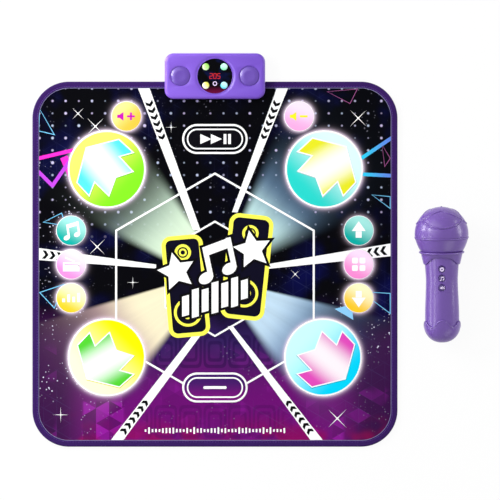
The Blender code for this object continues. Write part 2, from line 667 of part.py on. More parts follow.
def make_host_tub():
    """Lower shell of the host box behind the mat's edge, with the battery bay and the grille."""
    centre_y = (HOST_REAR_Y + TUB_FRONT_Y) / 2
    edge = TUB_FLOOR / 2
    levels = [(tub_outline(edge), TUB_LOW), (tub_outline(0.0), TUB_LOW + edge),
              (tub_outline(0.0), TUB_HIGH)]
    tub = add_piece("host_bottom_tub", add_stack(bmesh.new(), levels), PURPLE_PLASTIC, 0.4)
    cavity = add_plate(bmesh.new(), tub_outline(HOST_WALL), TUB_FLOOR_HIGH, TUB_HIGH + CUT_MARGIN)
    combine(tub, add_cutter("tub_cavity", cavity), 'DIFFERENCE')

    ribs = bmesh.new()
    rib_low = TUB_FLOOR_HIGH + GAP
    for rib_x in bay_rib_places():
        add_box(ribs, (rib_x - BAY_RIB / 2, TUB_FRONT_Y + HOST_WALL / 2, rib_low),
                (rib_x + BAY_RIB / 2, HOST_REAR_Y - HOST_WALL / 2, TUB_HIGH))
        add_box(ribs, (rib_x - BAY_RIB / 2 + GAP / 10, TUB_FRONT_Y + HOST_WALL + GAP, TUB_HIGH - GAP),
                (rib_x + BAY_RIB / 2 - GAP / 10, HOST_REAR_Y - HOST_WALL - GAP,
                 TUB_FLOOR_HIGH + BAY_RIB_HEIGHT))
    for side in (-1, 1):
        centre = (side * SHELL_SCREW_X, SHELL_SCREW_Y)
        add_plate(ribs, circle(BOSS_RADIUS, 12, centre), TUB_LOW + edge, TUB_HIGH)
    lug_x = DOOR_CENTRE_X - DOOR_WIDTH / 2 + DOOR_SCREW_INSET
    lug_reach = bay_rib_places()[0] - lug_x
    add_box(ribs, (lug_x - SCREW_HEAD_RADIUS, centre_y - SCREW_HEAD_RADIUS, rib_low),
            (lug_x + lug_reach, centre_y + SCREW_HEAD_RADIUS, TUB_HIGH - GAP))
    combine(tub, add_cutter("tub_ribs", ribs), 'UNION')

    holes = bmesh.new()
    add_plate(holes, door_corners(GAP), TUB_LOW - CUT_MARGIN, TUB_FLOOR_HIGH)
    for step in range(GRILLE_SLOTS):
        slot_y = centre_y + (step - (GRILLE_SLOTS - 1) / 2) * GRILLE_PITCH
        add_box(holes, (SPEAKER_CENTRE_X - GRILLE_SLOT_LENGTH / 2, slot_y - GRILLE_SLOT_WIDTH / 2,
                        TUB_LOW - CUT_MARGIN),
                (SPEAKER_CENTRE_X + GRILLE_SLOT_LENGTH / 2, slot_y + GRILLE_SLOT_WIDTH / 2,
                 TUB_FLOOR_HIGH + GAP))
    for side in (-1, 1):
        centre = (side * SHELL_SCREW_X, SHELL_SCREW_Y)
        sink = SCREW_HEAD_RADIUS + GAP
        ledge = TUB_LOW + SCREW_HEAD_HEIGHT
        add_turned(holes, [(0.0, TUB_LOW - CUT_MARGIN), (sink, TUB_LOW - CUT_MARGIN), (sink, ledge),
                           (SCREW_HOLE_RADIUS, ledge), (SCREW_HOLE_RADIUS, TUB_HIGH + CUT_MARGIN),
                           (0.0, TUB_HIGH + CUT_MARGIN)], 12, centre)
    add_plate(holes, circle(SCREW_HOLE_RADIUS, 8, (lug_x, centre_y)), TUB_FLOOR_HIGH, TUB_HIGH)
    combine(tub, add_cutter("tub_holes", holes), 'DIFFERENCE')


def bay_rib_places():
    """X of the two ribs that hold the battery contacts."""
    reach = BATTERY_LENGTH / 2 + GAP + CONTACT_PLATE + GAP + BAY_RIB / 2
    return (BATTERY_CENTRE_X - reach, BATTERY_CENTRE_X + reach)


def make_host_fasteners():
    """Shell screws and the rubber foot strip of the host box."""
    for side, side_name in ((-1, "left"), (1, "right")):
        centre = (side * SHELL_SCREW_X, SHELL_SCREW_Y)
        screw = add_turned(bmesh.new(), [
            (0.0, TUB_LOW), (SCREW_HEAD_RADIUS, TUB_LOW),
            (SCREW_HEAD_RADIUS, TUB_LOW + SCREW_HEAD_HEIGHT - GAP),
            (SCREW_RADIUS, TUB_LOW + SCREW_HEAD_HEIGHT - GAP),
            (SCREW_RADIUS, TUB_LOW + SHELL_SCREW_LENGTH),
            (0.0, TUB_LOW + SHELL_SCREW_LENGTH)], 12, centre)
        add_piece(f"shell_screw_{side_name}", screw, STEEL_GREY, 0.35, 1.0)
    foot = rounded_rectangle(FOOT_WIDTH, FOOT_DEPTH, FOOT_DEPTH / 2 - GAP / 10,
                             (0.0, HOST_REAR_Y - FOOT_REAR_INSET), steps=4)
    add_piece("rubber_foot", add_plate(bmesh.new(), foot, 0.0, FOOT_HEIGHT), RUBBER_BLACK, 0.9)


def make_window():
    """Dark window lens with the digits, the four lamps and the power button behind it."""
    centre = (0.0, HOST_CENTRE_Y)
    power = (0.0, HOST_CENTRE_Y + POWER_OFFSET_Y)
    lamps = [(x * LAMP_OFFSET_X, HOST_CENTRE_Y + y * LAMP_OFFSET_Y)
             for x, y in ((-1, 1), (1, 1), (-1, -1), (1, -1))]
    holes = [circle(LAMP_RADIUS + GAP, 20, lamp) for lamp in lamps]
    holes.append(circle(POWER_RADIUS + GAP, 16, power))
    lens = add_plate(bmesh.new(), circle(WINDOW_RADIUS, WINDOW_SEGMENTS, centre),
                     FLANGE_HIGH - LENS_FLANGE / 2, LENS_HIGH - GAP, holes)
    flange = add_plate(bmesh.new(), circle(WINDOW_RADIUS + LENS_FLANGE, WINDOW_SEGMENTS, centre),
                       LENS_LOW, FLANGE_HIGH, holes)
    lens_piece = add_piece("display_lens", lens, LENS_BLACK, 0.08)
    combine(lens_piece, add_cutter("lens_flange", flange), 'UNION')

    web_high = LENS_LOW - GAP
    web_low = web_high - LAMP_WEB
    reach_x = LAMP_OFFSET_X + LAMP_WEB_MARGIN
    reach_y = LAMP_OFFSET_Y + LAMP_WEB_MARGIN
    inner_x = DISPLAY_WIDTH / 2 + DISPLAY_CLEARANCE
    inner_rear = DISPLAY_OFFSET_Y + DISPLAY_DEPTH / 2 + DISPLAY_CLEARANCE
    inner_front = POWER_OFFSET_Y - POWER_RADIUS - BUTTON_FLANGE
    opening = rectangle(-inner_x, HOST_CENTRE_Y + inner_front, inner_x, HOST_CENTRE_Y + inner_rear)
    web = add_plate(bmesh.new(), rectangle(-reach_x, HOST_CENTRE_Y - reach_y, reach_x,
                                           HOST_CENTRE_Y + reach_y), web_low, web_high, [opening])
    web_piece = add_piece("lamp_lenses", web, LAMP_GREEN, 0.1)
    domes = bmesh.new()
    crown = LAMP_RADIUS / 3
    for lamp in lamps:
        profile = [(0.0, web_low + LAMP_WEB / 2), (LAMP_RADIUS, web_low + LAMP_WEB / 2),
                   (LAMP_RADIUS, LENS_HIGH)]
        for step in (1, 2, 3):
            angle = math.pi / 2 * step / 4
            profile.append((LAMP_RADIUS * math.cos(angle), LENS_HIGH + crown * math.sin(angle)))
        profile.append((0.0, LENS_HIGH + crown))
        add_turned(domes, profile, 16, lamp)
    combine(web_piece, add_cutter("lamp_domes", domes), 'UNION')

    digits_y = HOST_CENTRE_Y + DISPLAY_OFFSET_Y
    module = add_box(bmesh.new(), (-DISPLAY_WIDTH / 2, digits_y - DISPLAY_DEPTH / 2, BOARD_HIGH + GAP),
                     (DISPLAY_WIDTH / 2, digits_y + DISPLAY_DEPTH / 2, LENS_LOW - GAP))
    add_piece("display_module", module, CHIP_BLACK, 0.3)
    switch_top = BOARD_HIGH + SWITCH_HEIGHT
    button = add_turned(bmesh.new(), [
        (0.0, switch_top + GAP + POWER_TRAVEL),
        (BUTTON_STEM_RADIUS, switch_top + GAP + POWER_TRAVEL),
        (BUTTON_STEM_RADIUS, LENS_LOW - GAP - BUTTON_FLANGE_THICKNESS),
        (POWER_RADIUS + BUTTON_FLANGE / 2, LENS_LOW - GAP - BUTTON_FLANGE_THICKNESS),
        (POWER_RADIUS + BUTTON_FLANGE / 2, LENS_LOW - GAP), (POWER_RADIUS, LENS_LOW - GAP),
        (POWER_RADIUS, LENS_HIGH + POWER_TRAVEL), (0.0, LENS_HIGH + POWER_TRAVEL)], 16, power)
    add_piece("power_button", button, LENS_BLACK, 0.25)


def make_side_buttons():
    """The two large domed buttons on the host box."""
    switch_top = BOARD_HIGH + SWITCH_HEIGHT
    flange_low = FLANGE_HIGH - BUTTON_FLANGE_THICKNESS
    for side, name in ((-1, "left_button"), (1, "right_button")):
        profile = [(0.0, switch_top + GAP + SIDE_BUTTON_TRAVEL),
                   (BUTTON_STEM_RADIUS, switch_top + GAP + SIDE_BUTTON_TRAVEL),
                   (BUTTON_STEM_RADIUS, flange_low), (SIDE_BUTTON_RADIUS + BUTTON_FLANGE, flange_low),
                   (SIDE_BUTTON_RADIUS + BUTTON_FLANGE, FLANGE_HIGH), (SIDE_BUTTON_RADIUS, FLANGE_HIGH),
                   (SIDE_BUTTON_RADIUS, HOST_TOP)]
        for step in (1, 2, 3, 4):
            angle = math.pi / 2 * step / 5
            profile.append((SIDE_BUTTON_RADIUS * math.cos(angle),
                            HOST_TOP + SIDE_BUTTON_CROWN * math.sin(angle)))
        profile.append((0.0, HOST_TOP + SIDE_BUTTON_CROWN))
        shape = add_turned(bmesh.new(), profile, KEY_SEGMENTS,
                           (side * SIDE_BUTTON_OFFSET_X, HOST_CENTRE_Y))
        add_piece(name, shape, PURPLE_PLASTIC, 0.3)


def make_board():
    """Control board with the parts that are soldered to it: switches, chips and connector."""
    shape = add_box(bmesh.new(), (-BOARD_WIDTH / 2, BOARD_FRONT_Y, BOARD_LOW),
                    (BOARD_WIDTH / 2, BOARD_REAR_Y, BOARD_HIGH))
    board = add_piece("control_board", shape, BOARD_GREEN, 0.4)
    middle = BOARD_LOW + BOARD_THICKNESS / 2
    soldered = bmesh.new()
    half = SWITCH_SIZE / 2
    places = ((-SIDE_BUTTON_OFFSET_X, HOST_CENTRE_Y), (SIDE_BUTTON_OFFSET_X, HOST_CENTRE_Y),
              (0.0, HOST_CENTRE_Y + POWER_OFFSET_Y))
    for x, y in places:
        add_box(soldered, (x - half, y - half, middle), (x + half, y + half, BOARD_HIGH + SWITCH_HEIGHT))
    chip_x = (WINDOW_RADIUS + SIDE_BUTTON_OFFSET_X) / 2
    for side in (-1, 1):
        add_box(soldered, (side * chip_x - CHIP_SIZE / 2, HOST_CENTRE_Y - CHIP_SIZE / 2, middle),
                (side * chip_x + CHIP_SIZE / 2, HOST_CENTRE_Y + CHIP_SIZE / 2, BOARD_HIGH + CHIP_HEIGHT))
    add_box(soldered, (-CONNECTOR_WIDTH / 2, BOARD_FRONT_Y + GAP, BOARD_LOW - CONNECTOR_HEIGHT),
            (CONNECTOR_WIDTH / 2, BOARD_FRONT_Y + CONNECTOR_DEPTH, middle))
    combine(board, add_cutter("soldered_parts", soldered), 'UNION')


def make_power_and_sound():
    """Batteries with their contacts and door, and the speaker over the grille."""
    centre_y = (HOST_REAR_Y + TUB_FRONT_Y) / 2
    along_x = Matrix.Rotation(math.pi / 2, 4, 'Y')
    for step, place_name in ((-1, "front"), (0, "middle"), (1, "rear")):
        cell = add_plate(bmesh.new(), circle(BATTERY_RADIUS, 16), -BATTERY_LENGTH / 2, BATTERY_LENGTH / 2)
        place = Matrix.Translation((BATTERY_CENTRE_X, centre_y + step * BATTERY_PITCH, BATTERY_Z))
        bmesh.ops.transform(cell, matrix=place @ along_x, verts=cell.verts)
        add_piece(f"battery_{place_name}", cell, BATTERY_COLOUR, 0.3)

    low = TUB_FLOOR_HIGH + GAP
    high = TUB_FLOOR_HIGH + BAY_RIB_HEIGHT
    reach = 1.5 * BATTERY_PITCH
    for side, side_name in ((-1, "left"), (1, "right")):
        strip_x = BATTERY_CENTRE_X + side * (BATTERY_LENGTH / 2 + GAP + CONTACT_PLATE / 2)
        strip = add_box(bmesh.new(), (strip_x - CONTACT_PLATE / 2, centre_y - reach, low),
                        (strip_x + CONTACT_PLATE / 2, centre_y + reach, high))
        add_piece(f"battery_contact_{side_name}", strip, STEEL_GREY, 0.3, 1.0)

    door_screw = (DOOR_CENTRE_X - DOOR_WIDTH / 2 + DOOR_SCREW_INSET, centre_y)
    door = add_piece("battery_door",
                     add_plate(bmesh.new(), door_corners(0.0), TUB_LOW, TUB_FLOOR_HIGH),
                     PURPLE_PLASTIC, 0.4)
    sink = add_plate(bmesh.new(), circle(SCREW_HEAD_RADIUS, 12, door_screw),
                     TUB_LOW - CUT_MARGIN, TUB_LOW + SCREW_HEAD_HEIGHT + GAP)
    hole = add_plate(bmesh.new(), circle(SCREW_HOLE_RADIUS, 8, door_screw),
                     TUB_LOW, TUB_FLOOR_HIGH + CUT_MARGIN)
    combine(door, add_cutter("door_sink", sink), 'DIFFERENCE')
    combine(door, add_cutter("door_hole", hole), 'DIFFERENCE')
    head = SCREW_HEAD_RADIUS - GAP
    screw = add_turned(bmesh.new(), [
        (0.0, TUB_LOW), (head, TUB_LOW), (head, TUB_LOW + SCREW_HEAD_HEIGHT),
        (SCREW_RADIUS, TUB_LOW + SCREW_HEAD_HEIGHT), (SCREW_RADIUS, TUB_HIGH - CUT_MARGIN),
        (0.0, TUB_HIGH - CUT_MARGIN)], 12, door_screw)
    add_piece("battery_door_screw", screw, STEEL_GREY, 0.35, 1.0)
    make_speaker((SPEAKER_CENTRE_X, centre_y))


def make_speaker(centre):
    """Small speaker that faces down through the grille."""
    low = TUB_FLOOR_HIGH + GAP
    high = low + SPEAKER_BASKET_HEIGHT
    wall = SPEAKER_RIM
    inner = MAGNET_RADIUS - wall
    basket = add_turned(bmesh.new(), [
        (SPEAKER_RADIUS, low), (SPEAKER_RADIUS, low + wall), (MAGNET_RADIUS + GAP, high),
        (inner, high), (inner, high - wall), (MAGNET_RADIUS, high - wall),
        (SPEAKER_RADIUS - wall, low + wall), (SPEAKER_RADIUS - wall, low)],
        KEY_SEGMENTS, centre, ring=True)
    motor = add_piece("speaker_basket", basket, STEEL_GREY, 0.4, 1.0)
    rim = SPEAKER_RADIUS - wall - GAP
    cone = add_turned(bmesh.new(), [
        (rim, low), (rim, low + wall / 2), (inner, high - 2 * wall), (0.0, high - 2 * wall)][::-1] + [
        (rim - wall, low), (inner - wall, high - 3 * wall), (0.0, high - 3 * wall)],
        KEY_SEGMENTS, centre)
    add_piece("speaker_cone", cone, CONE_GREY, 0.8)
    magnet = add_plate(bmesh.new(), circle(MAGNET_RADIUS - GAP, KEY_SEGMENTS, centre),
                       high - wall / 2, high + MAGNET_HEIGHT)
    combine(motor, add_cutter("speaker_magnet", magnet), 'UNION')


def append_shape(target, source):
    """Copy one bmesh into another."""
    copies = {vert: target.verts.new(vert.co) for vert in source.verts}
    for face in source.faces:
        target.faces.new([copies[vert] for vert in face.verts])
    source.free()


def mic_cap_height(radius):
    """Height on the domed base cap where its outside reaches a radius."""
    share = 1 - (MIC_CAP_RADIUS - radius) / MIC_CAP_ROUND
    return MIC_CAP_ROUND * (1 - math.sqrt(1 - share ** 2))


def mic_handle_low():
    """Where the handle's full radius starts, as deep in the base cap as its shell allows."""
    return mic_cap_height(mic_cap_bore() + MIC_CAP_SHELL)


def mic_cap_bore():
    """Inner radius of the base cap, a running fit on the handle."""
    return max(mic_handle_radius(0.0), mic_handle_radius(MIC_CAP_HEIGHT)) + GAP


def mic_frame():
    """Empty whose Z runs from the microphone's base to its head.

    The microphone lies on the rim of its head and on its domed cap. The tilt makes the lowest
    points of the two equally low.
    """
    rim = MIC_LENGTH - MIC_RIM_FROM_TOP
    across = MIC_RIM_RADIUS - (MIC_CAP_RADIUS - MIC_CAP_ROUND)
    along = rim - MIC_CAP_ROUND
    tilt = math.acos(MIC_CAP_ROUND / math.hypot(across, along)) - math.atan2(along, across)
    height = MIC_RIM_RADIUS * math.cos(tilt) - rim * math.sin(tilt)
    frame = bpy.data.objects.new("microphone_frame", None)
    frame.rotation_euler = (tilt - math.pi / 2, 0.0, MIC_TURN)
    frame.location = (MIC_X, MIC_BASE_Y, height)
    bpy.context.scene.collection.objects.link(frame)
    return frame


def arc_profile(radius, base, steps, start=0.0):
    """Points of a dome's quarter circle, from its rim to its top."""
    angles = [start + (math.pi / 2 - start) * step / steps for step in range(steps + 1)]
    points = [(radius * math.cos(a), base + radius * math.sin(a)) for a in angles[:-1]]
    return points + [(0.0, base + radius)]


def mic_handle_radius(along):
    """Outer radius of the handle at a distance from the base."""
    share = min(abs(along - MIC_HANDLE_WAIST) / MIC_HANDLE_SWELL, 1.0)
    swell = (3 - 2 * share) * share ** 2
    return MIC_HANDLE_RADIUS + (MIC_HANDLE_BASE_RADIUS - MIC_HANDLE_RADIUS) * swell


def make_mic_head(frame):
    """Domed head, and the cup under it with its raised rim and the post for the capsule."""
    rim_low = MIC_LENGTH - MIC_RIM_FROM_TOP
    rim_high = rim_low + MIC_RIM_HEIGHT
    cone_low = rim_low - MIC_CONE_HEIGHT
    dome_base = MIC_LENGTH - MIC_HEAD_RADIUS
    inside = MIC_HEAD_RADIUS - MIC_WALL
    outer = [(MIC_HEAD_RADIUS, rim_high + GAP)] + arc_profile(MIC_HEAD_RADIUS, dome_base, 8)
    inner = [(inside, rim_high + GAP)] + arc_profile(inside, dome_base, 4)
    head = add_turned(bmesh.new(), inner[::-1] + outer, MIC_SEGMENTS)
    add_piece("mic_head", head, MIC_PURPLE, 0.35, carrier=frame)

    floor = cone_low + MIC_WALL
    neck = MIC_CONE_RADIUS - MIC_WALL
    post = MIC_CAPSULE_RADIUS - MIC_WALL
    post_top = floor + MIC_POST_HEIGHT
    cup = add_turned(bmesh.new(), [
        (0.0, cone_low), (MIC_CONE_RADIUS, cone_low), (MIC_HEAD_RADIUS - MIC_WALL / 2, rim_low),
        (MIC_RIM_RADIUS, rim_low), (MIC_RIM_RADIUS, rim_high), (MIC_HEAD_RADIUS - MIC_WALL, rim_high),
        (MIC_HEAD_RADIUS - 2 * MIC_WALL, rim_low), (neck, floor), (post, floor),
        (post, post_top), (0.0, post_top)], MIC_SEGMENTS)
    add_piece("mic_head_cup", cup, MIC_PURPLE, 0.35, carrier=frame)
    capsule = add_plate(bmesh.new(), circle(MIC_CAPSULE_RADIUS, 20), post_top + GAP,
                        post_top + GAP + MIC_CAPSULE_HEIGHT)
    add_piece("mic_capsule", capsule, STEEL_GREY, 0.4, 0.8, carrier=frame)
    return cone_low - GAP


def make_mic_collar(frame, top):
    """Collar under the head, with a raised ring and a wavy lower edge."""
    ring_low = top - MIC_COLLAR_RING
    low = top - MIC_COLLAR_HEIGHT
    shoulder = MIC_CONE_RADIUS - MIC_WALL / 2
    bore = max(mic_handle_radius(low - MIC_COLLAR_WAVE), mic_handle_radius(top)) + GAP
    collar = add_turned(bmesh.new(), [
        (bore, low, 1.0), (MIC_COLLAR_NECK_RADIUS, low, 1.0),
        ((MIC_COLLAR_NECK_RADIUS + shoulder) / 2, (low + ring_low) / 2, 0.3),
        (shoulder, ring_low), (MIC_COLLAR_RADIUS, ring_low), (MIC_COLLAR_RADIUS, top),
        (bore, top)], MIC_WAVE_SEGMENTS, ring=True, waves=MIC_COLLAR_WAVES, wave=MIC_COLLAR_WAVE)
    add_piece("mic_collar", collar, MIC_PURPLE, 0.35, carrier=frame)


def make_mic_handle(frame, top):
    """Front and back halves of the handle tube, with the button holes in the front."""
    steps = 5
    low = mic_handle_low()
    heights = [low + (top - GAP - low) * step / steps for step in range(steps + 1)]
    outer = [(mic_handle_radius(h), h) for h in heights]
    inner = [(mic_handle_radius(h) - MIC_WALL, h) for h in reversed(heights[1:])]
    spigot_low = low - MIC_SPIGOT_LENGTH
    spigot_bore = MIC_SPIGOT_RADIUS - MIC_WALL
    ledge = low + MIC_WALL
    spigot = [(mic_handle_radius(low) - MIC_WALL, ledge), (spigot_bore, ledge),
              (spigot_bore, spigot_low), (MIC_SPIGOT_RADIUS, spigot_low), (MIC_SPIGOT_RADIUS, low)]
    reach = 2 * MIC_HANDLE_BASE_RADIUS
    for name, side in (("mic_handle_front", -1), ("mic_handle_back", 1)):
        tube = add_turned(bmesh.new(), outer + inner + spigot, MIC_SEGMENTS, ring=True)
        half = add_piece(name, tube, MIC_PURPLE, 0.4, carrier=frame)
        near = side * GAP / 2
        far = -side * reach
        other = add_box(bmesh.new(), (-reach, min(near, far), -reach), (reach, max(near, far), 2 * top))
        combine(half, add_cutter(f"{name}_side", other, frame), 'DIFFERENCE')
        if side < 0:
            holes = bmesh.new()
            for place in mic_button_places():
                hole = add_plate(bmesh.new(), circle(MIC_BUTTON_RADIUS + GAP, MIC_BUTTON_SEGMENTS), 0.0, reach)
                bmesh.ops.transform(hole, matrix=mic_button_matrix(place, 0.5), verts=hole.verts)
                append_shape(holes, hole)
            combine(half, add_cutter("mic_button_holes", holes, frame), 'DIFFERENCE')


def mic_button_places():
    """Distance of each button from the base, the upper one first."""
    upper = MIC_LENGTH - MIC_BUTTON_FROM_TOP
    return [upper - step * MIC_BUTTON_PITCH for step in range(3)]


def mic_button_matrix(place, share):
    """Matrix that stands a shape on the handle's front at a share of the handle's radius."""
    start = -share * mic_handle_radius(place)
    return Matrix.Translation((0.0, start, place)) @ Matrix.Rotation(math.pi / 2, 4, 'X')


def make_mic_inside(frame, top):
    """Buttons, board and battery in the handle."""
    board_front = -MIC_BOARD_DEPTH
    board_top = top - 4 * MIC_WALL
    inside = mic_handle_radius(MIC_HANDLE_WAIST) - MIC_WALL - GAP
    board_half = math.sqrt(inside ** 2 - MIC_BOARD_DEPTH ** 2)
    board = add_box(bmesh.new(), (-board_half, board_front, board_top - MIC_BOARD_LENGTH),
                    (board_half, board_front + MIC_BOARD_THICKNESS, board_top))
    add_piece("mic_board", board, BOARD_GREEN, 0.4, carrier=frame)
    for place, name in zip(mic_button_places(), ("upper", "middle", "lower")):
        surface = mic_handle_radius(place)
        foot = MIC_BOARD_DEPTH + GAP + MIC_BUTTON_TRAVEL
        inner_wall = math.sqrt((surface - MIC_WALL) ** 2 - (MIC_BUTTON_RADIUS + MIC_WALL) ** 2)
        flange = inner_wall - GAP
        top_height = surface + MIC_BUTTON_PROUD
        crown = MIC_BUTTON_PROUD / 2
        button = add_turned(bmesh.new(), [
            (0.0, foot), (MIC_BUTTON_RADIUS / 2, foot), (MIC_BUTTON_RADIUS / 2, flange - MIC_WALL / 2),
            (MIC_BUTTON_RADIUS + MIC_WALL / 2, flange - MIC_WALL / 2),
            (MIC_BUTTON_RADIUS + MIC_WALL / 2, flange), (MIC_BUTTON_RADIUS, flange),
            (MIC_BUTTON_RADIUS, top_height - crown), (MIC_BUTTON_RADIUS * 0.7, top_height),
            (0.0, top_height)], MIC_BUTTON_SEGMENTS)
        bmesh.ops.transform(button, matrix=mic_button_matrix(place, 0.0), verts=button.verts)
        add_piece(f"mic_button_{name}", button, MIC_PURPLE, 0.3, carrier=frame)

    cell_low = MIC_CAP_HEIGHT + MIC_WALL
    cell = add_plate(bmesh.new(), circle(MIC_BATTERY_RADIUS, 20, (0.0, inside - MIC_BATTERY_RADIUS)),
                     cell_low, cell_low + MIC_BATTERY_LENGTH)
    add_piece("mic_battery", cell, BATTERY_COLOUR, 0.3, carrier=frame)


def make_mic_cap(frame):
    """Pull-off base cap with a wavy upper edge and a domed end."""
    bore = mic_cap_bore()
    outer = [(0.0, 0.0)]
    steps = 7
    for step in range(steps + 1):
        angle = math.pi / 2 * step / steps
        height = MIC_CAP_ROUND * (1 - math.cos(angle))
        share = max(2 * height / MIC_CAP_HEIGHT - 1, 0.0) ** 2
        outer.append((MIC_CAP_RADIUS - MIC_CAP_ROUND * (1 - math.sin(angle)), height, share))
    seat = mic_handle_low() - GAP
    socket = MIC_SPIGOT_RADIUS + GAP
    floor = seat - MIC_SPIGOT_LENGTH
    profile = outer + [(MIC_CAP_RADIUS, MIC_CAP_HEIGHT, 1.0), (bore, MIC_CAP_HEIGHT, 1.0),
                       (bore, seat), (socket, seat), (socket, floor), (0.0, floor)]
    cap = add_turned(bmesh.new(), profile, MIC_WAVE_SEGMENTS, waves=MIC_CAP_WAVES, wave=MIC_CAP_WAVE)
    add_piece("mic_base_cap", cap, MIC_PURPLE, 0.35, carrier=frame)


def make_microphone():
    """The toy microphone, lying on its back beside the mat."""
    frame = mic_frame()
    collar_top = make_mic_head(frame)
    make_mic_collar(frame, collar_top)
    make_mic_handle(frame, collar_top)
    make_mic_inside(frame, collar_top)
    make_mic_cap(frame)


def main():
    for old in list(bpy.data.objects):
        bpy.data.objects.remove(old)
    make_layers()
    make_keys()
    make_binding()
    make_clamp()
    make_host_top()
    make_host_tub()
    make_host_fasteners()
    make_window()
    make_side_buttons()
    make_board()
    make_power_and_sound()
    make_microphone()


main()
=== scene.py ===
"""Looks of the electronic dance mat, its host box and the toy microphone that lies beside it.

Lengths are in metres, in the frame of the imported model: +Z up, +Y towards the host box. The
layout of the mat's print is drawn in millimetres from the middle of the mat.
"""
import math

import bmesh
import bpy
from mathutils import Matrix, Vector
from mathutils.geometry import tessellate_polygon


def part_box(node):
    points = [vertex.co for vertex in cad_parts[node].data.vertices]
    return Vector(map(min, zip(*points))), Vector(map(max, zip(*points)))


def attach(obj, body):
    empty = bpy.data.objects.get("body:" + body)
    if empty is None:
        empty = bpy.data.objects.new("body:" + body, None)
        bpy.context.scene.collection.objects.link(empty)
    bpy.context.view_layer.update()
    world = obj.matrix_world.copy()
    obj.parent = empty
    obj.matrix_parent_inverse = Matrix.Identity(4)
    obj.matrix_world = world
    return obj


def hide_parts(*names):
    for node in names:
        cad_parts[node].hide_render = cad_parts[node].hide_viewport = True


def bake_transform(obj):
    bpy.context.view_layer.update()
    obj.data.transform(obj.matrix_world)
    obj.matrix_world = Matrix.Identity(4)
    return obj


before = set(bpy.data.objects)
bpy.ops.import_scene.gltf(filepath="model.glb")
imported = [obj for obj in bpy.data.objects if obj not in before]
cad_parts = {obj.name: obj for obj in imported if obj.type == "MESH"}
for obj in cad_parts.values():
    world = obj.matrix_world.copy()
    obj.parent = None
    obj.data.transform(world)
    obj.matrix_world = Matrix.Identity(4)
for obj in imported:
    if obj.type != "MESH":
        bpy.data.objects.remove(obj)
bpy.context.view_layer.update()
MM = 0.001

# Camera of the photograph: straight down, from far away, so that there is no perspective. The
# width is what the photograph spans at the height of the keys
CAMERA_DISTANCE = 40.0
CAMERA_SENSOR = 36.0
FRAME_WIDTH = 1.0955
VIEW_CENTRE = (0.0768, 0.0311)


def heights(name):
    """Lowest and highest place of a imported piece."""
    return [corner.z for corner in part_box(name)]


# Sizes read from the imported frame
MAT_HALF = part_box("mat_binding_rear")[1].x
COVER_LOW, COVER_HIGH = heights("mat_cover_rear")
FOAM_LOW, FOAM_HIGH = heights("mat_foam_rear")
FILM_LOW, FILM_HIGH = heights("mat_film_front")
BACKING_HIGH = heights("mat_backing_rear")[1]
BINDING_HIGH = heights("mat_binding_rear")[1]
KEY_LOW, KEY_TOP = heights("pad_rear_left")
FOLD_Y = (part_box("mat_cover_rear")[0].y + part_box("mat_cover_front")[1].y) / 2
HOST_MIN, HOST_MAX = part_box("host_top_shell")
HOST_X = HOST_MAX.x
HOST_Y = (HOST_MIN.y + HOST_MAX.y) / 2
HOST_LOW = HOST_MIN.z
HOST_TOP = HOST_MAX.z
LENS_LOW, LENS_TOP = heights("display_lens")

# Mat edge, fold and print
MAT_CORNER = 0.0803
BINDING_WIDTH = 0.0134
BINDING_WALL = 0.0010
BINDING_ROUND = 0.0030
LAYER_INSET = 0.0020
STITCH_PITCH = 0.006
STITCH_LENGTH = 0.0042
STITCH_RADIUS = 0.00040
STITCH_INSET = 0.0106
FOLD_BAND = 0.004
FOLD_CUTS = 10
CLEARANCE = 0.0003
PRINT_WIDTH = 0.8
INK = 0.00010

# Microphone, measured along its axis from the base
MIC_X = 0.4979
MIC_BASE_Y = -0.1711
MIC_TURN = math.radians(0.48)
MIC_LENGTH = 0.2982
MIC_HEAD_RADIUS = 0.0590
MIC_RIM_RADIUS = 0.0598
MIC_RIM_FROM_TOP = 0.0690
MIC_CAP_RADIUS = 0.0398
MIC_CAP_ROUND = 0.0370

UP = ((-1, 1), (1, 1), (-1, -1), (1, -1))


def srgb(red, green, blue):
    """Linear colour of a screen colour given in steps of 255."""
    def linear(value):
        value /= 255
        return value / 12.92 if value <= 0.04045 else ((value + 0.055) / 1.055) ** 2.4
    return (linear(red), linear(green), linear(blue), 1.0)


def toned(colour, factor, lift=0.0):
    """A screen colour as a linear one, made paler or darker."""
    return (*(min(1.0, channel * factor + lift) for channel in srgb(*colour)[:3]), 1.0)


def arithmetic(operation, swapped=False):
    """An operator of Field, which adds the node that works it out."""
    def operator(self, other):
        values = (other, self) if swapped else (self, other)
        return self.nodes.math(operation, *values)
    return operator


class Field:
    """A number or colour that varies over a surface, worked out by shader nodes."""

    def __init__(self, nodes, socket):
        self.nodes = nodes
        self.socket = socket

    __add__ = arithmetic('ADD')
    __sub__ = arithmetic('SUBTRACT')
    __rsub__ = arithmetic('SUBTRACT', swapped=True)
    __mul__ = arithmetic('MULTIPLY')
    __rmul__ = arithmetic('MULTIPLY', swapped=True)
    __truediv__ = arithmetic('DIVIDE')

    def __abs__(self):
        return self.nodes.math('ABSOLUTE', self)


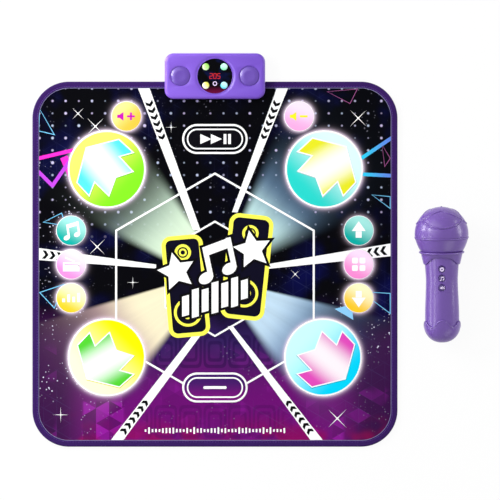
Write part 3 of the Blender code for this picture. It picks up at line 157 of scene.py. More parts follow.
class Nodes:
    """The nodes of a material or of the world."""

    def __init__(self, tree):
        self.tree = tree

    def feed(self, socket, value):
        """Link a field to a socket, or set its value. Three numbers are a screen colour."""
        if isinstance(value, Field):
            self.tree.links.new(value.socket, socket)
        elif isinstance(value, tuple) and len(value) == 3:
            socket.default_value = srgb(*value)
        else:
            socket.default_value = value

    def node(self, kind, inputs, output=0, **settings):
        """Add a node and return one of its outputs."""
        made = self.tree.nodes.new(f"ShaderNode{kind}")
        for key, value in settings.items():
            setattr(made, key, value)
        for place, value in inputs.items():
            self.feed(made.inputs[place], value)
        return Field(self, made.outputs[output])

    def math(self, operation, *values):
        return self.node('Math', dict(enumerate(values)), operation=operation)

    def smooth(self, value, low, high):
        """Rise from 0 at low to 1 at high, or fall where low is the larger."""
        return self.node('MapRange', {0: value, 1: low, 2: high}, interpolation_type='SMOOTHSTEP')

    def between(self, value, low, high, soft):
        """1 between two values and 0 outside them, with soft ends."""
        return self.smooth(value, low, low + soft) * self.smooth(value, high, high - soft)

    def mix(self, share, first, second):
        """Colour between two colours."""
        return self.node('Mix', {0: share, 6: first, 7: second}, output=2, data_type='RGBA')

    def split(self, vector):
        parts = self.node('SeparateXYZ', {0: vector}).socket.node.outputs
        return [Field(self, part) for part in parts]

    def join(self, x, y, z=0.0):
        return self.node('CombineXYZ', {0: x, 1: y, 2: z})

    def weave(self, x, y, rate):
        """Height of a plain weave of threads."""
        return self.math('SINE', x * rate) * self.math('SINE', y * rate)

    def length(self, x, y):
        return self.math('SQRT', x * x + y * y)

    def print_place(self):
        """Flat place on a printed piece, in millimetres from its middle."""
        u, v, _ = self.split(self.node('UVMap', {}, uv_map="print"))
        return (u - 0.5) * (PRINT_WIDTH / MM), (v - 0.5) * (PRINT_WIDTH / MM)

    def rest_place(self):
        """Place on a rigid piece, in metres."""
        return self.node('TexCoord', {}, output='Object')

    def noise(self, place, scale, detail=2.0):
        return self.node('TexNoise', {'Vector': place, 'Scale': scale, 'Detail': detail})

    def chance(self, x, y, seed):
        """A number from 0 to 1 for each whole x and y."""
        return self.node('TexWhiteNoise', {'Vector': self.join(x, y, seed)})

    def seen(self):
        """1 to the camera, in reflections and through glass, and 0 as light on the object."""
        camera, glossy, through = (self.node('LightPath', {}, output=f"Is {kind} Ray")
                                   for kind in ("Camera", "Glossy", "Transmission"))
        return self.math('MAXIMUM', camera, self.math('MAXIMUM', glossy, through))


class Graph(Nodes):
    """A material and the nodes that work out its finish."""

    def __init__(self, name, colour=(0.8, 0.8, 0.8, 1.0), roughness=0.5, specular=0.5):
        self.material = bpy.data.materials.new(name)
        self.material.use_nodes = True
        super().__init__(self.material.node_tree)
        self.shader = self.tree.nodes["Principled BSDF"]
        self.set("Base Color", colour)
        self.set("Roughness", roughness)
        self.set("Specular IOR Level", specular)

    def set(self, name, value):
        self.feed(self.shader.inputs[name], value)

    def bump(self, height, distance, strength):
        relief = {'Height': height, 'Distance': distance, 'Strength': strength}
        self.set("Normal", self.node('Bump', relief))

    def shine(self, colour, strength):
        """Give the surface a colour that it also sends out."""
        self.set("Base Color", colour)
        self.set("Emission Color", colour)
        self.set("Emission Strength", strength)


def circle(radius, segments, centre=(0.0, 0.0)):
    angles = [2 * math.pi * step / segments for step in range(segments)]
    return [(centre[0] + radius * math.cos(a), centre[1] + radius * math.sin(a)) for a in angles]


def box_outline(left, front, right, rear):
    """Corners of a rectangle, anticlockwise."""
    return [(left, front), (right, front), (right, rear), (left, rear)]


def rounded_rectangle(width, depth, radius, centre=(0.0, 0.0), steps=12):
    """Points of a rectangle with round corners, anticlockwise from the rear right corner."""
    points = []
    for quarter, (side_x, side_y) in enumerate(((1, 1), (-1, 1), (-1, -1), (1, -1))):
        corner_x = centre[0] + side_x * (width / 2 - radius)
        corner_y = centre[1] + side_y * (depth / 2 - radius)
        for step in range(steps + 1):
            angle = math.pi / 2 * (quarter + step / steps)
            points.append((corner_x + radius * math.cos(angle), corner_y + radius * math.sin(angle)))
    return points


def area_of(points):
    """Area inside an outline, above zero where it runs anticlockwise."""
    following = points[1:] + points[:1]
    return sum(a[0] * b[1] - b[0] * a[1] for a, b in zip(points, following)) / 2


def turned(points, degrees, centre=(0.0, 0.0)):
    """Points turned about the origin and then moved."""
    cos, sin = math.cos(math.radians(degrees)), math.sin(math.radians(degrees))
    return [(centre[0] + x * cos - y * sin, centre[1] + x * sin + y * cos) for x, y in points]


def scaled(points, factor):
    return [(x * factor, y * factor) for x, y in points]


def grown(points, distance):
    """An outline moved outwards by a distance, with mitred corners."""
    if area_of(points) < 0:
        points = points[::-1]
    made = []
    for step, (x, y) in enumerate(points):
        before, after = points[step - 1], points[(step + 1) % len(points)]
        first = Vector((y - before[1], before[0] - x)).normalized()
        second = Vector((after[1] - y, x - after[0])).normalized()
        reach = distance / max(1 + first.dot(second), 0.35)
        made.append((x + (first.x + second.x) * reach, y + (first.y + second.y) * reach))
    return made


def add_plate(shape, outline, low, high, holes=()):
    """Add a flat plate between two heights, with holes through it."""
    loops = [outline, *holes]
    flat = [point for loop in loops for point in loop]
    triangles = tessellate_polygon([[Vector((x, y, 0.0)) for x, y in loop] for loop in loops])
    bottom = [shape.verts.new((x, y, low)) for x, y in flat]
    top = [shape.verts.new((x, y, high)) for x, y in flat]
    for a, b, c in triangles:
        shape.faces.new((bottom[a], bottom[b], bottom[c]))
        shape.faces.new((top[c], top[b], top[a]))
    start = 0
    for loop in loops:
        for step in range(len(loop)):
            here = start + step
            after = start + (step + 1) % len(loop)
            shape.faces.new((bottom[here], bottom[after], top[after], top[here]))
        start += len(loop)
    return shape


def add_shapes(shape, shapes, centre, low, top, spread=0.0):
    """Add flat shapes in millimetres from a centre, each an outline, or one with its holes.

    Neighbours differ in height by the spread, so that no two tops share a plane where they overlap.
    """
    for number, outline in enumerate(shapes):
        holes = []
        if isinstance(outline, tuple):
            outline, holes = outline
        if area_of(outline) < 0:
            outline = outline[::-1]
        loops = [[(centre[0] + a * MM, centre[1] + b * MM) for a, b in loop]
                 for loop in (outline, *holes)]
        add_plate(shape, loops[0], low, top + spread * (number % 3), loops[1:])
    return shape


def add_rows(shape, rows, ring=False, materials=None, capped=False):
    """Skin rows of points. A row of one point closes the shape to a tip."""
    made = [[shape.verts.new(point) for point in row] for row in rows]
    pairs = list(zip(made, made[1:]))
    if ring:
        pairs.append((made[-1], made[0]))
    for band, (low, high) in enumerate(pairs):
        count = max(len(low), len(high))
        for step in range(count):
            after = (step + 1) % count
            corners = [low[step % len(low)], low[after % len(low)],
                       high[after % len(high)], high[step % len(high)]]
            face = shape.faces.new(list(dict.fromkeys(corners)))
            face.material_index = materials[band] if materials else 0
    if capped:
        shape.faces.new(made[0])
        shape.faces.new(made[-1]).material_index = materials[-1] if materials else 0
    return shape


def add_turned(shape, profile, segments, centre=(0.0, 0.0), ring=False, lift=None):
    """Add a solid turned about a vertical axis. lift raises a point by its angle and its row."""
    rows = []
    for place, (radius, height) in enumerate(profile):
        row = []
        for step in range(segments if radius else 1):
            angle = 2 * math.pi * step / segments
            rise = lift(angle, place) if lift else 0.0
            row.append((centre[0] + radius * math.cos(angle), centre[1] + radius * math.sin(angle),
                        height + rise))
        rows.append(row)
    return add_rows(shape, rows, ring)


def add_stack(shape, levels, materials=None):
    """Add a solid through outlines of equal point count, each at its height."""
    rows = [[(x, y, height) for x, y in outline] for outline, height in levels]
    return add_rows(shape, rows, materials=materials, capped=True)


def arc(radius, start, end, steps, centre=(0.0, 0.0)):
    """Points of an arc from one angle to another, in degrees."""
    angles = [math.radians(start + (end - start) * step / steps) for step in range(steps + 1)]
    return [(centre[0] + radius * math.cos(a), centre[1] + radius * math.sin(a)) for a in angles]


def beside(radius, level, *steps):
    """Points of a profile, each a step outwards and a step up from one place."""
    return [(radius + out, level + up) for out, up in steps]


def make_object(name, shape):
    """Turn a bmesh into an object, with its faces turned outwards."""
    bmesh.ops.recalc_face_normals(shape, faces=shape.faces)
    mesh = bpy.data.meshes.new(name)
    shape.to_mesh(mesh)
    shape.free()
    made = bpy.data.objects.new(name, mesh)
    bpy.context.scene.collection.objects.link(made)
    return made


def shade(piece, degrees):
    """Shade a piece smooth, but for the edges that turn by more than an angle."""
    piece.data.shade_smooth()
    piece.data.set_sharp_from_angle(angle=math.radians(degrees))


def make_piece(name, shape, materials, sharp=35.0):
    """Turn a bmesh into an object with its finish."""
    piece = make_object(name, shape)
    shade(piece, sharp)
    for material in materials:
        piece.data.materials.append(material)
    return piece


def carry(piece, body, *nodes):
    """Fix a piece to a body, and let it stand for nodes of the record."""
    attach(piece, body)
    if nodes:
        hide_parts(*nodes)
    return piece


def apply_cut(piece, shape):
    """Cut a bmesh out of a piece and keep the result as its mesh."""
    cutter = make_object("cutter", shape)
    step = piece.modifiers.new("cut", 'BOOLEAN')
    step.operation = 'DIFFERENCE'
    step.solver = 'EXACT'
    step.use_self = True
    step.object = cutter
    evaluated = piece.evaluated_get(bpy.context.evaluated_depsgraph_get())
    mesh = bpy.data.meshes.new_from_object(evaluated)
    piece.modifiers.clear()
    piece.data = mesh
    bpy.data.objects.remove(cutter)


def lay_print(piece, centre=(0.0, 0.0)):
    """Give a flat piece its place on the print, so that the print stays on it as it bends."""
    mesh = piece.data
    layer = mesh.uv_layers.new(name="print")
    for loop in mesh.loops:
        place = mesh.vertices[loop.vertex_index].co
        layer.data[loop.index].uv = ((place.x - centre[0]) / PRINT_WIDTH + 0.5,
                                     (place.y - centre[1]) / PRINT_WIDTH + 0.5)


def cut_fold(piece):
    """Cut a flat piece finely along the fold, where it has to bend."""
    shape = bmesh.new()
    shape.from_mesh(piece.data)
    for step in range(-FOLD_CUTS, FOLD_CUTS + 1):
        across = FOLD_Y + FOLD_BAND * step / FOLD_CUTS
        bmesh.ops.bisect_plane(shape, geom=shape.verts[:] + shape.edges[:] + shape.faces[:],
                               plane_co=(0.0, across, 0.0), plane_no=(0.0, 1.0, 0.0))
    shape.to_mesh(piece.data)
    shape.free()


def bend(piece):
    """Bake a piece's place into its mesh.
    """
    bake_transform(piece)


def lay_over_fold(piece):
    """Cut a flat piece finely along the fold and let it carry its print."""
    cut_fold(piece)
    lay_print(piece)
    bend(piece)


def mat_outline(inset):
    """Outline of the whole mat, drawn in from its edge."""
    side = 2 * (MAT_HALF - inset)
    return rounded_rectangle(side, side, MAT_CORNER - inset, steps=24)


def key_places():
    """Centre and half size of every key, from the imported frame."""
    places = {}
    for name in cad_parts:
        if name.startswith(("pad_", "key_")):
            low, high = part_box(name)
            places[name] = ((low.x + high.x) / 2, (low.y + high.y) / 2,
                            (high.x - low.x) / 2, (high.y - low.y) / 2)
    return places


KEYS = key_places()


def key_outline(name, growth=0.0, segments=96):
    """Outline of a key or of its well, a circle or a pill."""
    x, y, half_x, half_y = KEYS[name]
    if half_x - half_y > 0.001:
        return rounded_rectangle(2 * (half_x + growth), 2 * (half_y + growth),
                                 half_y + growth - 0.00003, (x, y), steps=segments // 4)
    return circle(half_x + growth, segments, (x, y))


# Finishes

BEAMS = (
    # apex, low and high angle, softness of both edges, reach and its steepness, near and far colour
    ((61, -78), (122.2, 153.9), (0.34, 0.34), (286, 12), (214, 235, 208), (182, 206, 186)),
    ((0.5, -31), (22.1, 67.8), (0.80, 0.34), (244, 9), (184, 218, 218), (104, 134, 164)),
    ((8, -14), (196, 233.7), (0.12, 0.34), (286, 9), (240, 230, 196), (188, 158, 158)),
    ((3.2, -31.1), (-56.5, -13.0), (0.40, 0.14), (220, 8), (192, 219, 238), (158, 192, 224)),
)
INNER_HEXAGON = (-31.9, 125.4, 4.0)
OUTER_HEXAGON = (-51.2, 249.9, 4.4)
DOT_PITCH = (28.82, 27.05)
DOT_START = (-355.9, 357.6)
FACET_SIDE = 33.2
FACET_START = -289.3
# Left, right and top of the facet patches at the front corners
FACET_CORNERS = ((-294.0, -196.0, -296.0), (207.0, 287.0, -303.0))
TILE_ROWS = (-191.0, -345.0)
TILE_PITCH = 54.0
TILE_RINGS = (33.0, 19.0)
TILE_SQUARENESS = 6.0
GLOW_WIDTH = 2.9
FAINT_GLOWS = {"key_left_rear": 2.5, "key_right_rear": 2.5}


def ground_colour(g, x, y, clouds):
    """Night sky over the upper part of the mat, and purple over the lower part."""
    aside = g.smooth(abs(x), 40.0, 260.0)
    sky = g.mix(g.smooth(clouds, 0.46, 0.76) * (aside * 0.8 + 0.2), (0, 0, 3), (8, 10, 68))
    glow = g.noise(g.join(x, y), 1 / 170, 1.0)
    deep = g.smooth(y + (glow - 0.5) * 160.0, -150.0, -330.0)
    middle = g.mix(deep, (47, 28, 86), (104, 14, 110))
    low = g.mix(g.smooth(abs(x), 250.0, 345.0), middle, (54, 14, 66))
    wander = (clouds - 0.5) * 150.0
    return g.mix(g.smooth(y + wander, -70.0, -190.0), sky, low)


def add_facets(g, x, y, base, clouds):
    """Patches of triangular facets over the lower part, with faint lines between them."""
    across = (x - FACET_START) / (FACET_SIDE * math.sqrt(3) / 2)
    up = y / FACET_SIDE - across * 0.5
    part_a = g.math('FRACT', across)
    part_b = g.math('FRACT', up)
    far_half = g.math('GREATER_THAN', part_a + part_b, 1.0)
    facet = g.chance(g.math('FLOOR', across) + far_half * 0.5, g.math('FLOOR', up), 3.0)
    patch = g.smooth(g.noise(g.join(x, y, 7.0), 1 / 85, 1.0), 0.46, 0.58)
    faceted = g.smooth(y, -150.0, -250.0) * patch * 0.4
    for left, right, top in FACET_CORNERS:
        corner = g.between(x, left, right, 10.0) * g.smooth(y, top, top - 10.0)
        faceted = g.math('MAXIMUM', faceted, corner)
    base = g.mix(g.smooth(facet, 0.5, 1.0) * faceted * 0.6, base, (160, 32, 172))
    warm = g.smooth(g.noise(g.join(x, y, 31.0), 1 / 60, 1.0), 0.46, 0.62)
    base = g.mix(g.smooth(y, -318.0, -386.0) * warm * 0.55, base, (150, 6, 74))
    tiles = tile_lines(g, x, y) * (g.smooth(y, -300.0, -240.0) * 0.25 + 0.25)
    base = g.mix(tiles, base, (28, 8, 58))
    base = g.mix(g.smooth(facet, 0.5, 0.0) * faceted * 0.5, base, (62, 12, 70))
    nearest = g.math('MINIMUM', g.math('MINIMUM', part_a, part_b), abs(part_a + part_b - 1.0))
    lines = g.smooth(nearest, 0.03, 0.0) * g.smooth(clouds, 0.5, 0.66) * 0.10
    return g.mix(lines, base, (110, 120, 190))


def tile_lines(g, x, y):
    """Faint rows of rounded squares in squares behind the lower middle."""
    part_x = (g.math('FRACT', x / TILE_PITCH + 0.5) - 0.5) * TILE_PITCH
    power_x = g.math('POWER', abs(part_x) * 1.45, TILE_SQUARENESS)
    share = None
    for row in TILE_ROWS:
        power_y = g.math('POWER', abs(y - row), TILE_SQUARENESS)
        reach = g.math('POWER', power_x + power_y, 1 / TILE_SQUARENESS)
        for ring in TILE_RINGS:
            line = g.smooth(abs(reach - ring), 4.6, 2.6)
            share = line if share is None else g.math('MAXIMUM', share, line)
    return share * g.smooth(abs(x), 176.0, 128.0)


def hexagon_reach(g, x, y, centre_y):
    """Distance from a hexagon's middle, the same all along its outline."""
    side = abs(x)
    slope = side * 0.5 + abs(y - centre_y) * (math.sqrt(3) / 2)
    return g.math('MAXIMUM', side, slope)


def add_beams(g, x, y, base):
    """Four soft beams of light from the middle, hidden inside the inner hexagon."""
    centre_y, radius, _ = INNER_HEXAGON
    inner = radius * math.sqrt(3) / 2
    outside = g.smooth(hexagon_reach(g, x, y, centre_y), inner - 2.0, inner + 1.0)
    for (apex_x, apex_y), (low, high), soft, (reach, steep), near, far in BEAMS:
        middle = math.radians((low + high) / 2)
        spread = math.tan(math.radians((high - low) / 2))
        dx = x - float(apex_x)
        dy = y - float(apex_y)
        along = dx * math.cos(middle) + dy * math.sin(middle)
        side = dy * math.cos(middle) - dx * math.sin(middle)
        turn = side / g.math('MAXIMUM', along, 1.0)
        inside = g.smooth(turn, spread * -1.04, spread * (soft[0] - 1.04))
        inside = inside * g.math('GREATER_THAN', along, 0.0)
        inside = inside * g.smooth(turn, spread * 1.04, spread * (1.04 - soft[1]))
        rays = g.noise(g.join(turn * 9.0, float(reach)), 1.0, 2.0) * 0.3 + 0.85
        away = g.math('MAXIMUM', along, 0.0) / float(reach)
        fade = g.math('DIVIDE', 1.0, g.math('POWER', away, float(steep)) + 1.0)
        share = g.math('MINIMUM', inside * fade * rays * outside * 0.96, 1.0)
        base = g.mix(share, base, g.mix(g.smooth(away, 0.62, 1.0), near, far))
    return base


def add_dots(g, x, y, base, clouds):
    """A grid of soft round dots that swell and fade."""
    cell_x = (x - DOT_START[0]) / DOT_PITCH[0] + 0.5
    cell_y = (y - DOT_START[1]) / DOT_PITCH[1] + 0.5
    dx = (g.math('FRACT', cell_x) - 0.5) * DOT_PITCH[0]
    dy = (g.math('FRACT', cell_y) - 0.5) * DOT_PITCH[1]
    distance = g.length(dx, dy)
    number = g.chance(g.math('FLOOR', cell_x), g.math('FLOOR', cell_y), 1.0)
    tint = g.chance(g.math('FLOOR', cell_x), g.math('FLOOR', cell_y), 2.0)
    radius = number * 1.5 + clouds * 3.6
    inside = g.smooth(distance - radius, 0.8, -1.6)
    shown = g.smooth(y, 40.0, 125.0) * (number * 0.6 + 0.3)
    colour = g.mix(tint, (184, 200, 226), (206, 190, 232))
    return g.mix(inside * shown, base, colour)


def add_stars(g, x, y, base):
    """Small star specks, most of them in clusters to the left and at the lower right."""
    place = g.join(x, y)
    left = g.smooth(x, -250.0, -300.0) * g.smooth(y, 280.0, 220.0)
    right = g.smooth(x, 235.0, 285.0) * g.between(y, -280.0, -50.0, 50.0)
    shown = g.math('MAXIMUM', left, right)
    for size, seed, amount in ((7.5, 0.0, 0.50), (13.0, 40.0, 0.54)):
        cells = {'Vector': g.join(x + seed, y + seed), 'Scale': 1 / size}
        nearest = g.node('TexVoronoi', cells)
        kind = g.split(Field(g, nearest.socket.node.outputs[1]))
        start = amount - 0.1 * shown
        cluster = g.smooth(g.noise(place, 1 / 95, 1.0), start, start + 0.16)
        star = g.smooth(nearest * size - kind[1] * 0.9, 1.2, 0.2)
        rare = g.math('GREATER_THAN', kind[0], 0.35)
        base = g.mix(star * rare * cluster * (shown * 0.75 + 0.15), base, (226, 224, 248))
    return base


def add_glow(g, x, y, base):
    """Pale pink glow round every round key."""
    nearest = None
    for name, (key_x, key_y, radius, half_y) in KEYS.items():
        if radius - half_y > 0.001:
            continue
        dx = x - key_x / MM
        dy = y - key_y / MM
        edge = g.length(dx, dy) - radius / MM + FAINT_GLOWS.get(name, 0.0)
        nearest = edge if nearest is None else g.math('MINIMUM', nearest, edge)
    share = g.math('MINIMUM', g.math('EXPONENT', nearest * (-1 / GLOW_WIDTH)) * 0.72, 1.0)
    return g.mix(share, base, (255, 232, 255))


def cover_print():
    """The printed cover sheet: night sky, beams, dots, stars and glowing key rims."""
    g = Graph("cover_print", roughness=0.46, specular=0.03)
    x, y = g.print_place()
    place = g.join(x, y)
    clouds = g.noise(place, 1 / 130, 3.0)
    base = ground_colour(g, x, y, clouds)
    base = add_facets(g, x, y, base, clouds)
    base = add_dots(g, x, y, base, clouds)
    base = add_beams(g, x, y, base)
    base = add_stars(g, x, y, base)
    base = add_glow(g, x, y, base)
    g.set("Base Color", base)
    grain = g.noise(place, 2.2, 3.0)
    waves = g.noise(place, 1 / 60, 1.0)
    g.bump(grain * 0.04 + waves, 0.0005, 0.35)
    return g.material


def printed(name, roughness, specular):
    """Start of a printed finish: its nodes, the flat place and the fine grain of its relief."""
    g = Graph(name, roughness=roughness, specular=specular)
    x, y = g.print_place()
    grain = g.noise(g.join(x, y), 1.3, 3.0)
    g.bump(grain, 0.00004, 0.3)
    return g, x, y, grain


def ink(name, colour):
    """Printed colour with the fine unevenness of screen print."""
    g, _, _, grain = printed(name, 0.46, 0.04)
    g.set("Base Color", g.mix(grain, toned(colour, 1 - 0.05), toned(colour, 1.12)))
    return g.material


def gradient_ink(name, first, second, degrees, low, high):
    """Printed colour that runs from one colour to another along a direction."""
    g, x, y, _ = printed(name, 0.4, 0.05)
    angle = math.radians(degrees)
    share = g.smooth(x * math.cos(angle) + y * math.sin(angle), low, high)
    g.set("Base Color", g.mix(share, first, second))
    return g.material


def arrow_ink(name, colour, degrees, start):
    """White print that turns to a colour at both ends of a direction."""
    g, x, y, _ = printed(name, 0.4, 0.05)
    angle = math.radians(degrees)
    along = abs(x * math.cos(angle) + y * math.sin(angle) - float(start))
    share = g.math('POWER', g.smooth(along, 0.0, 56.0), 1.35)
    g.set("Base Color", g.mix(share, toned(colour, 0.12, 0.86), colour))
    return g.material


def tape_weave():
    """Woven edge tape in purple."""
    g = Graph("tape_weave", roughness=0.62, specular=0.12)
    x, y = g.print_place()
    weave = g.weave(x, y, 9.0)
    worn = g.noise(g.join(x, y), 0.02, 2.0)
    base = g.mix(worn, (42, 11, 78), (50, 14, 92))
    # Painted shade: the weave is darker in its low places between the threads.
    g.set("Base Color", g.mix(g.smooth(weave, 0.2, -1.0) * 0.35, base, (38, 14, 76)))
    g.bump(weave, 0.0001, 0.5)
    g.set("Sheen Weight", 0.06)
    return g.material


def speckled(name, roughness, specular, scale, detail, colours, depth, strength):
    """Finish of two colours mixed by a noise that also shapes its relief."""
    g = Graph(name, roughness=roughness, specular=specular)
    speckle = g.noise(g.rest_place(), scale, detail)
    g.set("Base Color", g.mix(speckle, *colours))
    g.bump(speckle, depth, strength)
    return g.material


def thread():
    """Sewing thread, a little lighter than the tape."""
    return speckled("tape_thread", 0.6, 0.3, 2500.0, 1.0, ((74, 38, 126), (96, 60, 150)), 0.00005, 0.5)


def backing_cloth():
    """Dark non-slip cloth with small rubber dots."""
    g = Graph("backing_cloth", roughness=0.85, specular=0.2)
    x, y = g.print_place()
    dx = g.math('FRACT', x / 6.0) - 0.5
    dy = g.math('FRACT', y / 6.0) - 0.5
    dot = g.smooth(g.length(dx, dy), 0.3, 0.2)
    weave = g.weave(x, y, 7.0)
    # Painted shade: the cloth is paler on the crests of the weave and darker between them.
    cloth = g.mix(g.smooth(weave, -1.0, 1.0), (38, 38, 42), (58, 58, 64))
    g.set("Base Color", g.mix(dot, cloth, (26, 26, 30)))
    g.bump(dot + weave * 0.15, 0.0004, 0.7)
    return g.material


def foam_finish():
    """Grey closed-cell foam."""
    return speckled("foam_cells", 0.9, 0.2, 900.0, 3.0, ((120, 120, 128), (158, 158, 166)), 0.0003, 0.6)


def film_finish():
    """Amber film with grey printed tracks."""
    g = Graph("film_tracks", roughness=0.3, specular=0.5)
    x, y = g.print_place()
    track = g.smooth(abs(g.math('FRACT', (x + y) / 9.0) - 0.5), 0.12, 0.08)
    g.set("Base Color", g.mix(track, (196, 156, 92), (92, 92, 96)))
    return g.material


def moulded(name, roughness=0.5, specular=0.5):
    """Start of a moulded plastic: its nodes, the place and its flow marks, over a fine grain."""
    g = Graph(name, roughness=roughness, specular=specular)
    place = g.rest_place()
    g.bump(g.noise(place, 1400.0), 0.00002, 0.4)
    return g, place, g.noise(place, 9.0)


def plastic(name, colour, roughness):
    """Moulded plastic with faint flow marks and slightly uneven gloss."""
    g, _, flow = moulded(name)
    g.set("Base Color", g.mix(flow, toned(colour, 0.95), toned(colour, 1.05)))
    g.set("Roughness", flow * 0.08 + (roughness - 0.04))
    return g.material


def host_plastic_painted_shade():
    """Purple plastic of the host box with painted shade: paler at the left, where the light comes from,
    and deeper to the right.
    """
    g, place, flow = moulded("host_purple_painted_shade", 0.32, 0.4)
    x, _, _ = g.split(place)
    # Painted shade: the colour runs from paler at the left to darker at the right, as the light falls
    # from the left.
    share = g.smooth(x + (flow - 0.5) * 0.06, -0.12, 0.12)
    g.set("Base Color", g.mix(share, (124, 85, 203), (105, 68, 183)))
    return g.material


def window_glass_painted_reflection():
    """Dark tinted window, near black with blue hints, with a painted wine-red reflection towards its
    front edge.
    """
    g = Graph("window_glass_painted_reflection", roughness=0.10, specular=0.05)
    x, y, _ = g.split(g.rest_place())
    hue = g.noise(g.join(x, y), 38.0, 2.0)
    base = g.mix(g.smooth(hue, 0.47, 0.68), (1, 1, 4), (4, 12, 52))
    # Painted reflection: wine-red over the front part of the window.
    low = g.smooth(y, HOST_Y - 0.020, HOST_Y - 0.036)
    g.set("Base Color", g.mix(low, base, (92, 4, 48)))
    return g.material


def lamp(name, centre, rim, colour):
    """Lit lamp dome: a tinted middle in a paler rim."""
    g = Graph(name, roughness=0.16, specular=0.5)
    x, y, _ = g.split(g.rest_place())
    dx = x - centre[0]
    dy = y - centre[1]
    ring = g.smooth(abs(g.length(dx, dy) - 0.0026), 0.0022, 0.0004)
    base = g.mix(g.smooth(dx + dy, -0.006, 0.008), rim, colour)
    g.shine(g.mix(ring * 0.5, base, colour), 0.12)
    return g.material


def glowing(name, colour, strength):
    """Lit segments behind the window."""
    g = Graph(name, roughness=0.3, specular=0.3)
    x, y, _ = g.split(g.rest_place())
    flicker = g.noise(g.join(x, y), 700.0, 1.0)
    g.shine(g.mix(flicker, toned(colour, 0.8), colour), strength)
    return g.material


def steel(name, colour=(172, 174, 178)):
    """Zinc-plated steel with a brushed grain."""
    g = Graph(name, colour=colour, roughness=0.35)
    x, y, z = g.split(g.rest_place())
    brushed = g.noise(g.join(x * 20.0, y * 900.0, z * 900.0), 1.0, 2.0)
    g.set("Roughness", brushed * 0.25 + 0.25)
    g.set("Metallic", 1.0)
    g.bump(brushed, 0.00002, 0.4)
    return g.material


def rubber():
    return speckled("foot_rubber", 0.85, 0.25, 1200.0, 2.0, ((24, 24, 26), (44, 44, 47)), 0.0001, 0.5)


def board_finish():
    """Green solder resist with paler copper tracks under it."""
    g = Graph("board_green", roughness=0.35)
    x, y, _ = g.split(g.rest_place())
    lanes = g.math('FRACT', (x + abs(y)) * 260.0)
    track = g.smooth(abs(lanes - 0.5), 0.2, 0.14)
    g.set("Base Color", g.mix(track, (14, 92, 48), (44, 132, 74)))
    return g.material


def cell_finish():
    """Printed sleeve of a battery cell, blue with a copper-coloured end."""
    g = Graph("cell_sleeve", roughness=0.3)
    x, _, _ = g.split(g.rest_place())
    grain = g.noise(g.rest_place(), 500.0, 1.0)
    blue = g.mix(grain, (34, 84, 160), (48, 104, 184))
    g.set("Base Color", g.mix(g.smooth(x, -0.035, -0.036), blue, (190, 134, 70)))
    return g.material


def paper_cone():
    return speckled("cone_paper", 0.9, 0.2, 700.0, 4.0, ((38, 38, 40), (62, 62, 64)), 0.0002, 0.5)


# Mat layers

def make_layer(name, low, high, inset, material, holes=(), notch=None):
    """One full layer of the mat, cut finely along the fold."""
    outline = mat_outline(inset)
    layer = make_piece(name, add_plate(bmesh.new(), outline, low, high, holes), [material])
    if notch:
        apply_cut(layer, add_plate(bmesh.new(), notch, -CLEARANCE, FILM_LOW))
    lay_over_fold(layer)
    return layer, area_of(outline) - sum(area_of(hole) for hole in holes)


def make_mat():
    """Cover, foam, film and backing, each one continuous sheet."""
    wells = [key_outline(name, CLEARANCE) for name in KEYS]
    cover, area = make_layer("cover_sheet", COVER_LOW, COVER_HIGH, LAYER_INSET, cover_print(),
                             wells)
    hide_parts("mat_cover_rear", "mat_cover_front")
    tape, stitches, line = make_binding()

    foam, _ = make_layer("foam_core", FOAM_LOW, FOAM_HIGH, LAYER_INSET, foam_finish(), wells)
    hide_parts("mat_foam_rear", "mat_foam_front")

    film, area = make_layer("circuit_film", FILM_LOW, FILM_HIGH, LAYER_INSET, film_finish())
    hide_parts("mat_film_rear", "mat_film_front")

    low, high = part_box("mat_clamp_plate")
    notch = box_outline(low.x - CLEARANCE, low.y - CLEARANCE, high.x + CLEARANCE, high.y + CLEARANCE)
    inset = BINDING_WIDTH + CLEARANCE
    backing, area = make_layer("backing_sheet", 0.0, BACKING_HIGH, inset, backing_cloth(),
                               notch=notch)
    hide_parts("mat_backing_rear", "mat_backing_front")


def edge_stations():
    """Places round the mat's edge, half a stitch apart, from one side of the host box to the other.

    Each is the centre of the edge's curve there, the direction outwards and the way gone so far.
    """
    spacing = STITCH_PITCH / 2
    straight = MAT_HALF - MAT_CORNER
    gap = HOST_X + CLEARANCE
    corners = [(gap, straight), (straight, straight), (straight, -straight), (-straight, -straight),
               (-straight, straight), (-gap, straight)]
    stations = []
    way = 0.0
    for number, (start, end) in enumerate(zip(corners, corners[1:])):
        degrees = 90 - 90 * number
        length = math.dist(start, end)
        count = round(length / spacing)
        for step in range(count + 1):
            share = step / count
            centre = (start[0] + (end[0] - start[0]) * share, start[1] + (end[1] - start[1]) * share)
            stations.append((centre, math.radians(degrees), way + length * share))
        way += length
        if end == corners[-1]:
            break
        bend_length = MAT_CORNER * math.pi / 2
        count = round(bend_length / spacing)
        for step in range(1, count):
            angle = math.radians(degrees - 90 * step / count)
            stations.append((end, angle, way + bend_length * step / count))
        way += bend_length
    return stations


def on_edge(station, inset):
    """Point on the mat at a distance in from its edge."""
    centre, angle, _ = station
    reach = MAT_CORNER - inset
    return centre[0] + reach * math.cos(angle), centre[1] + reach * math.sin(angle)


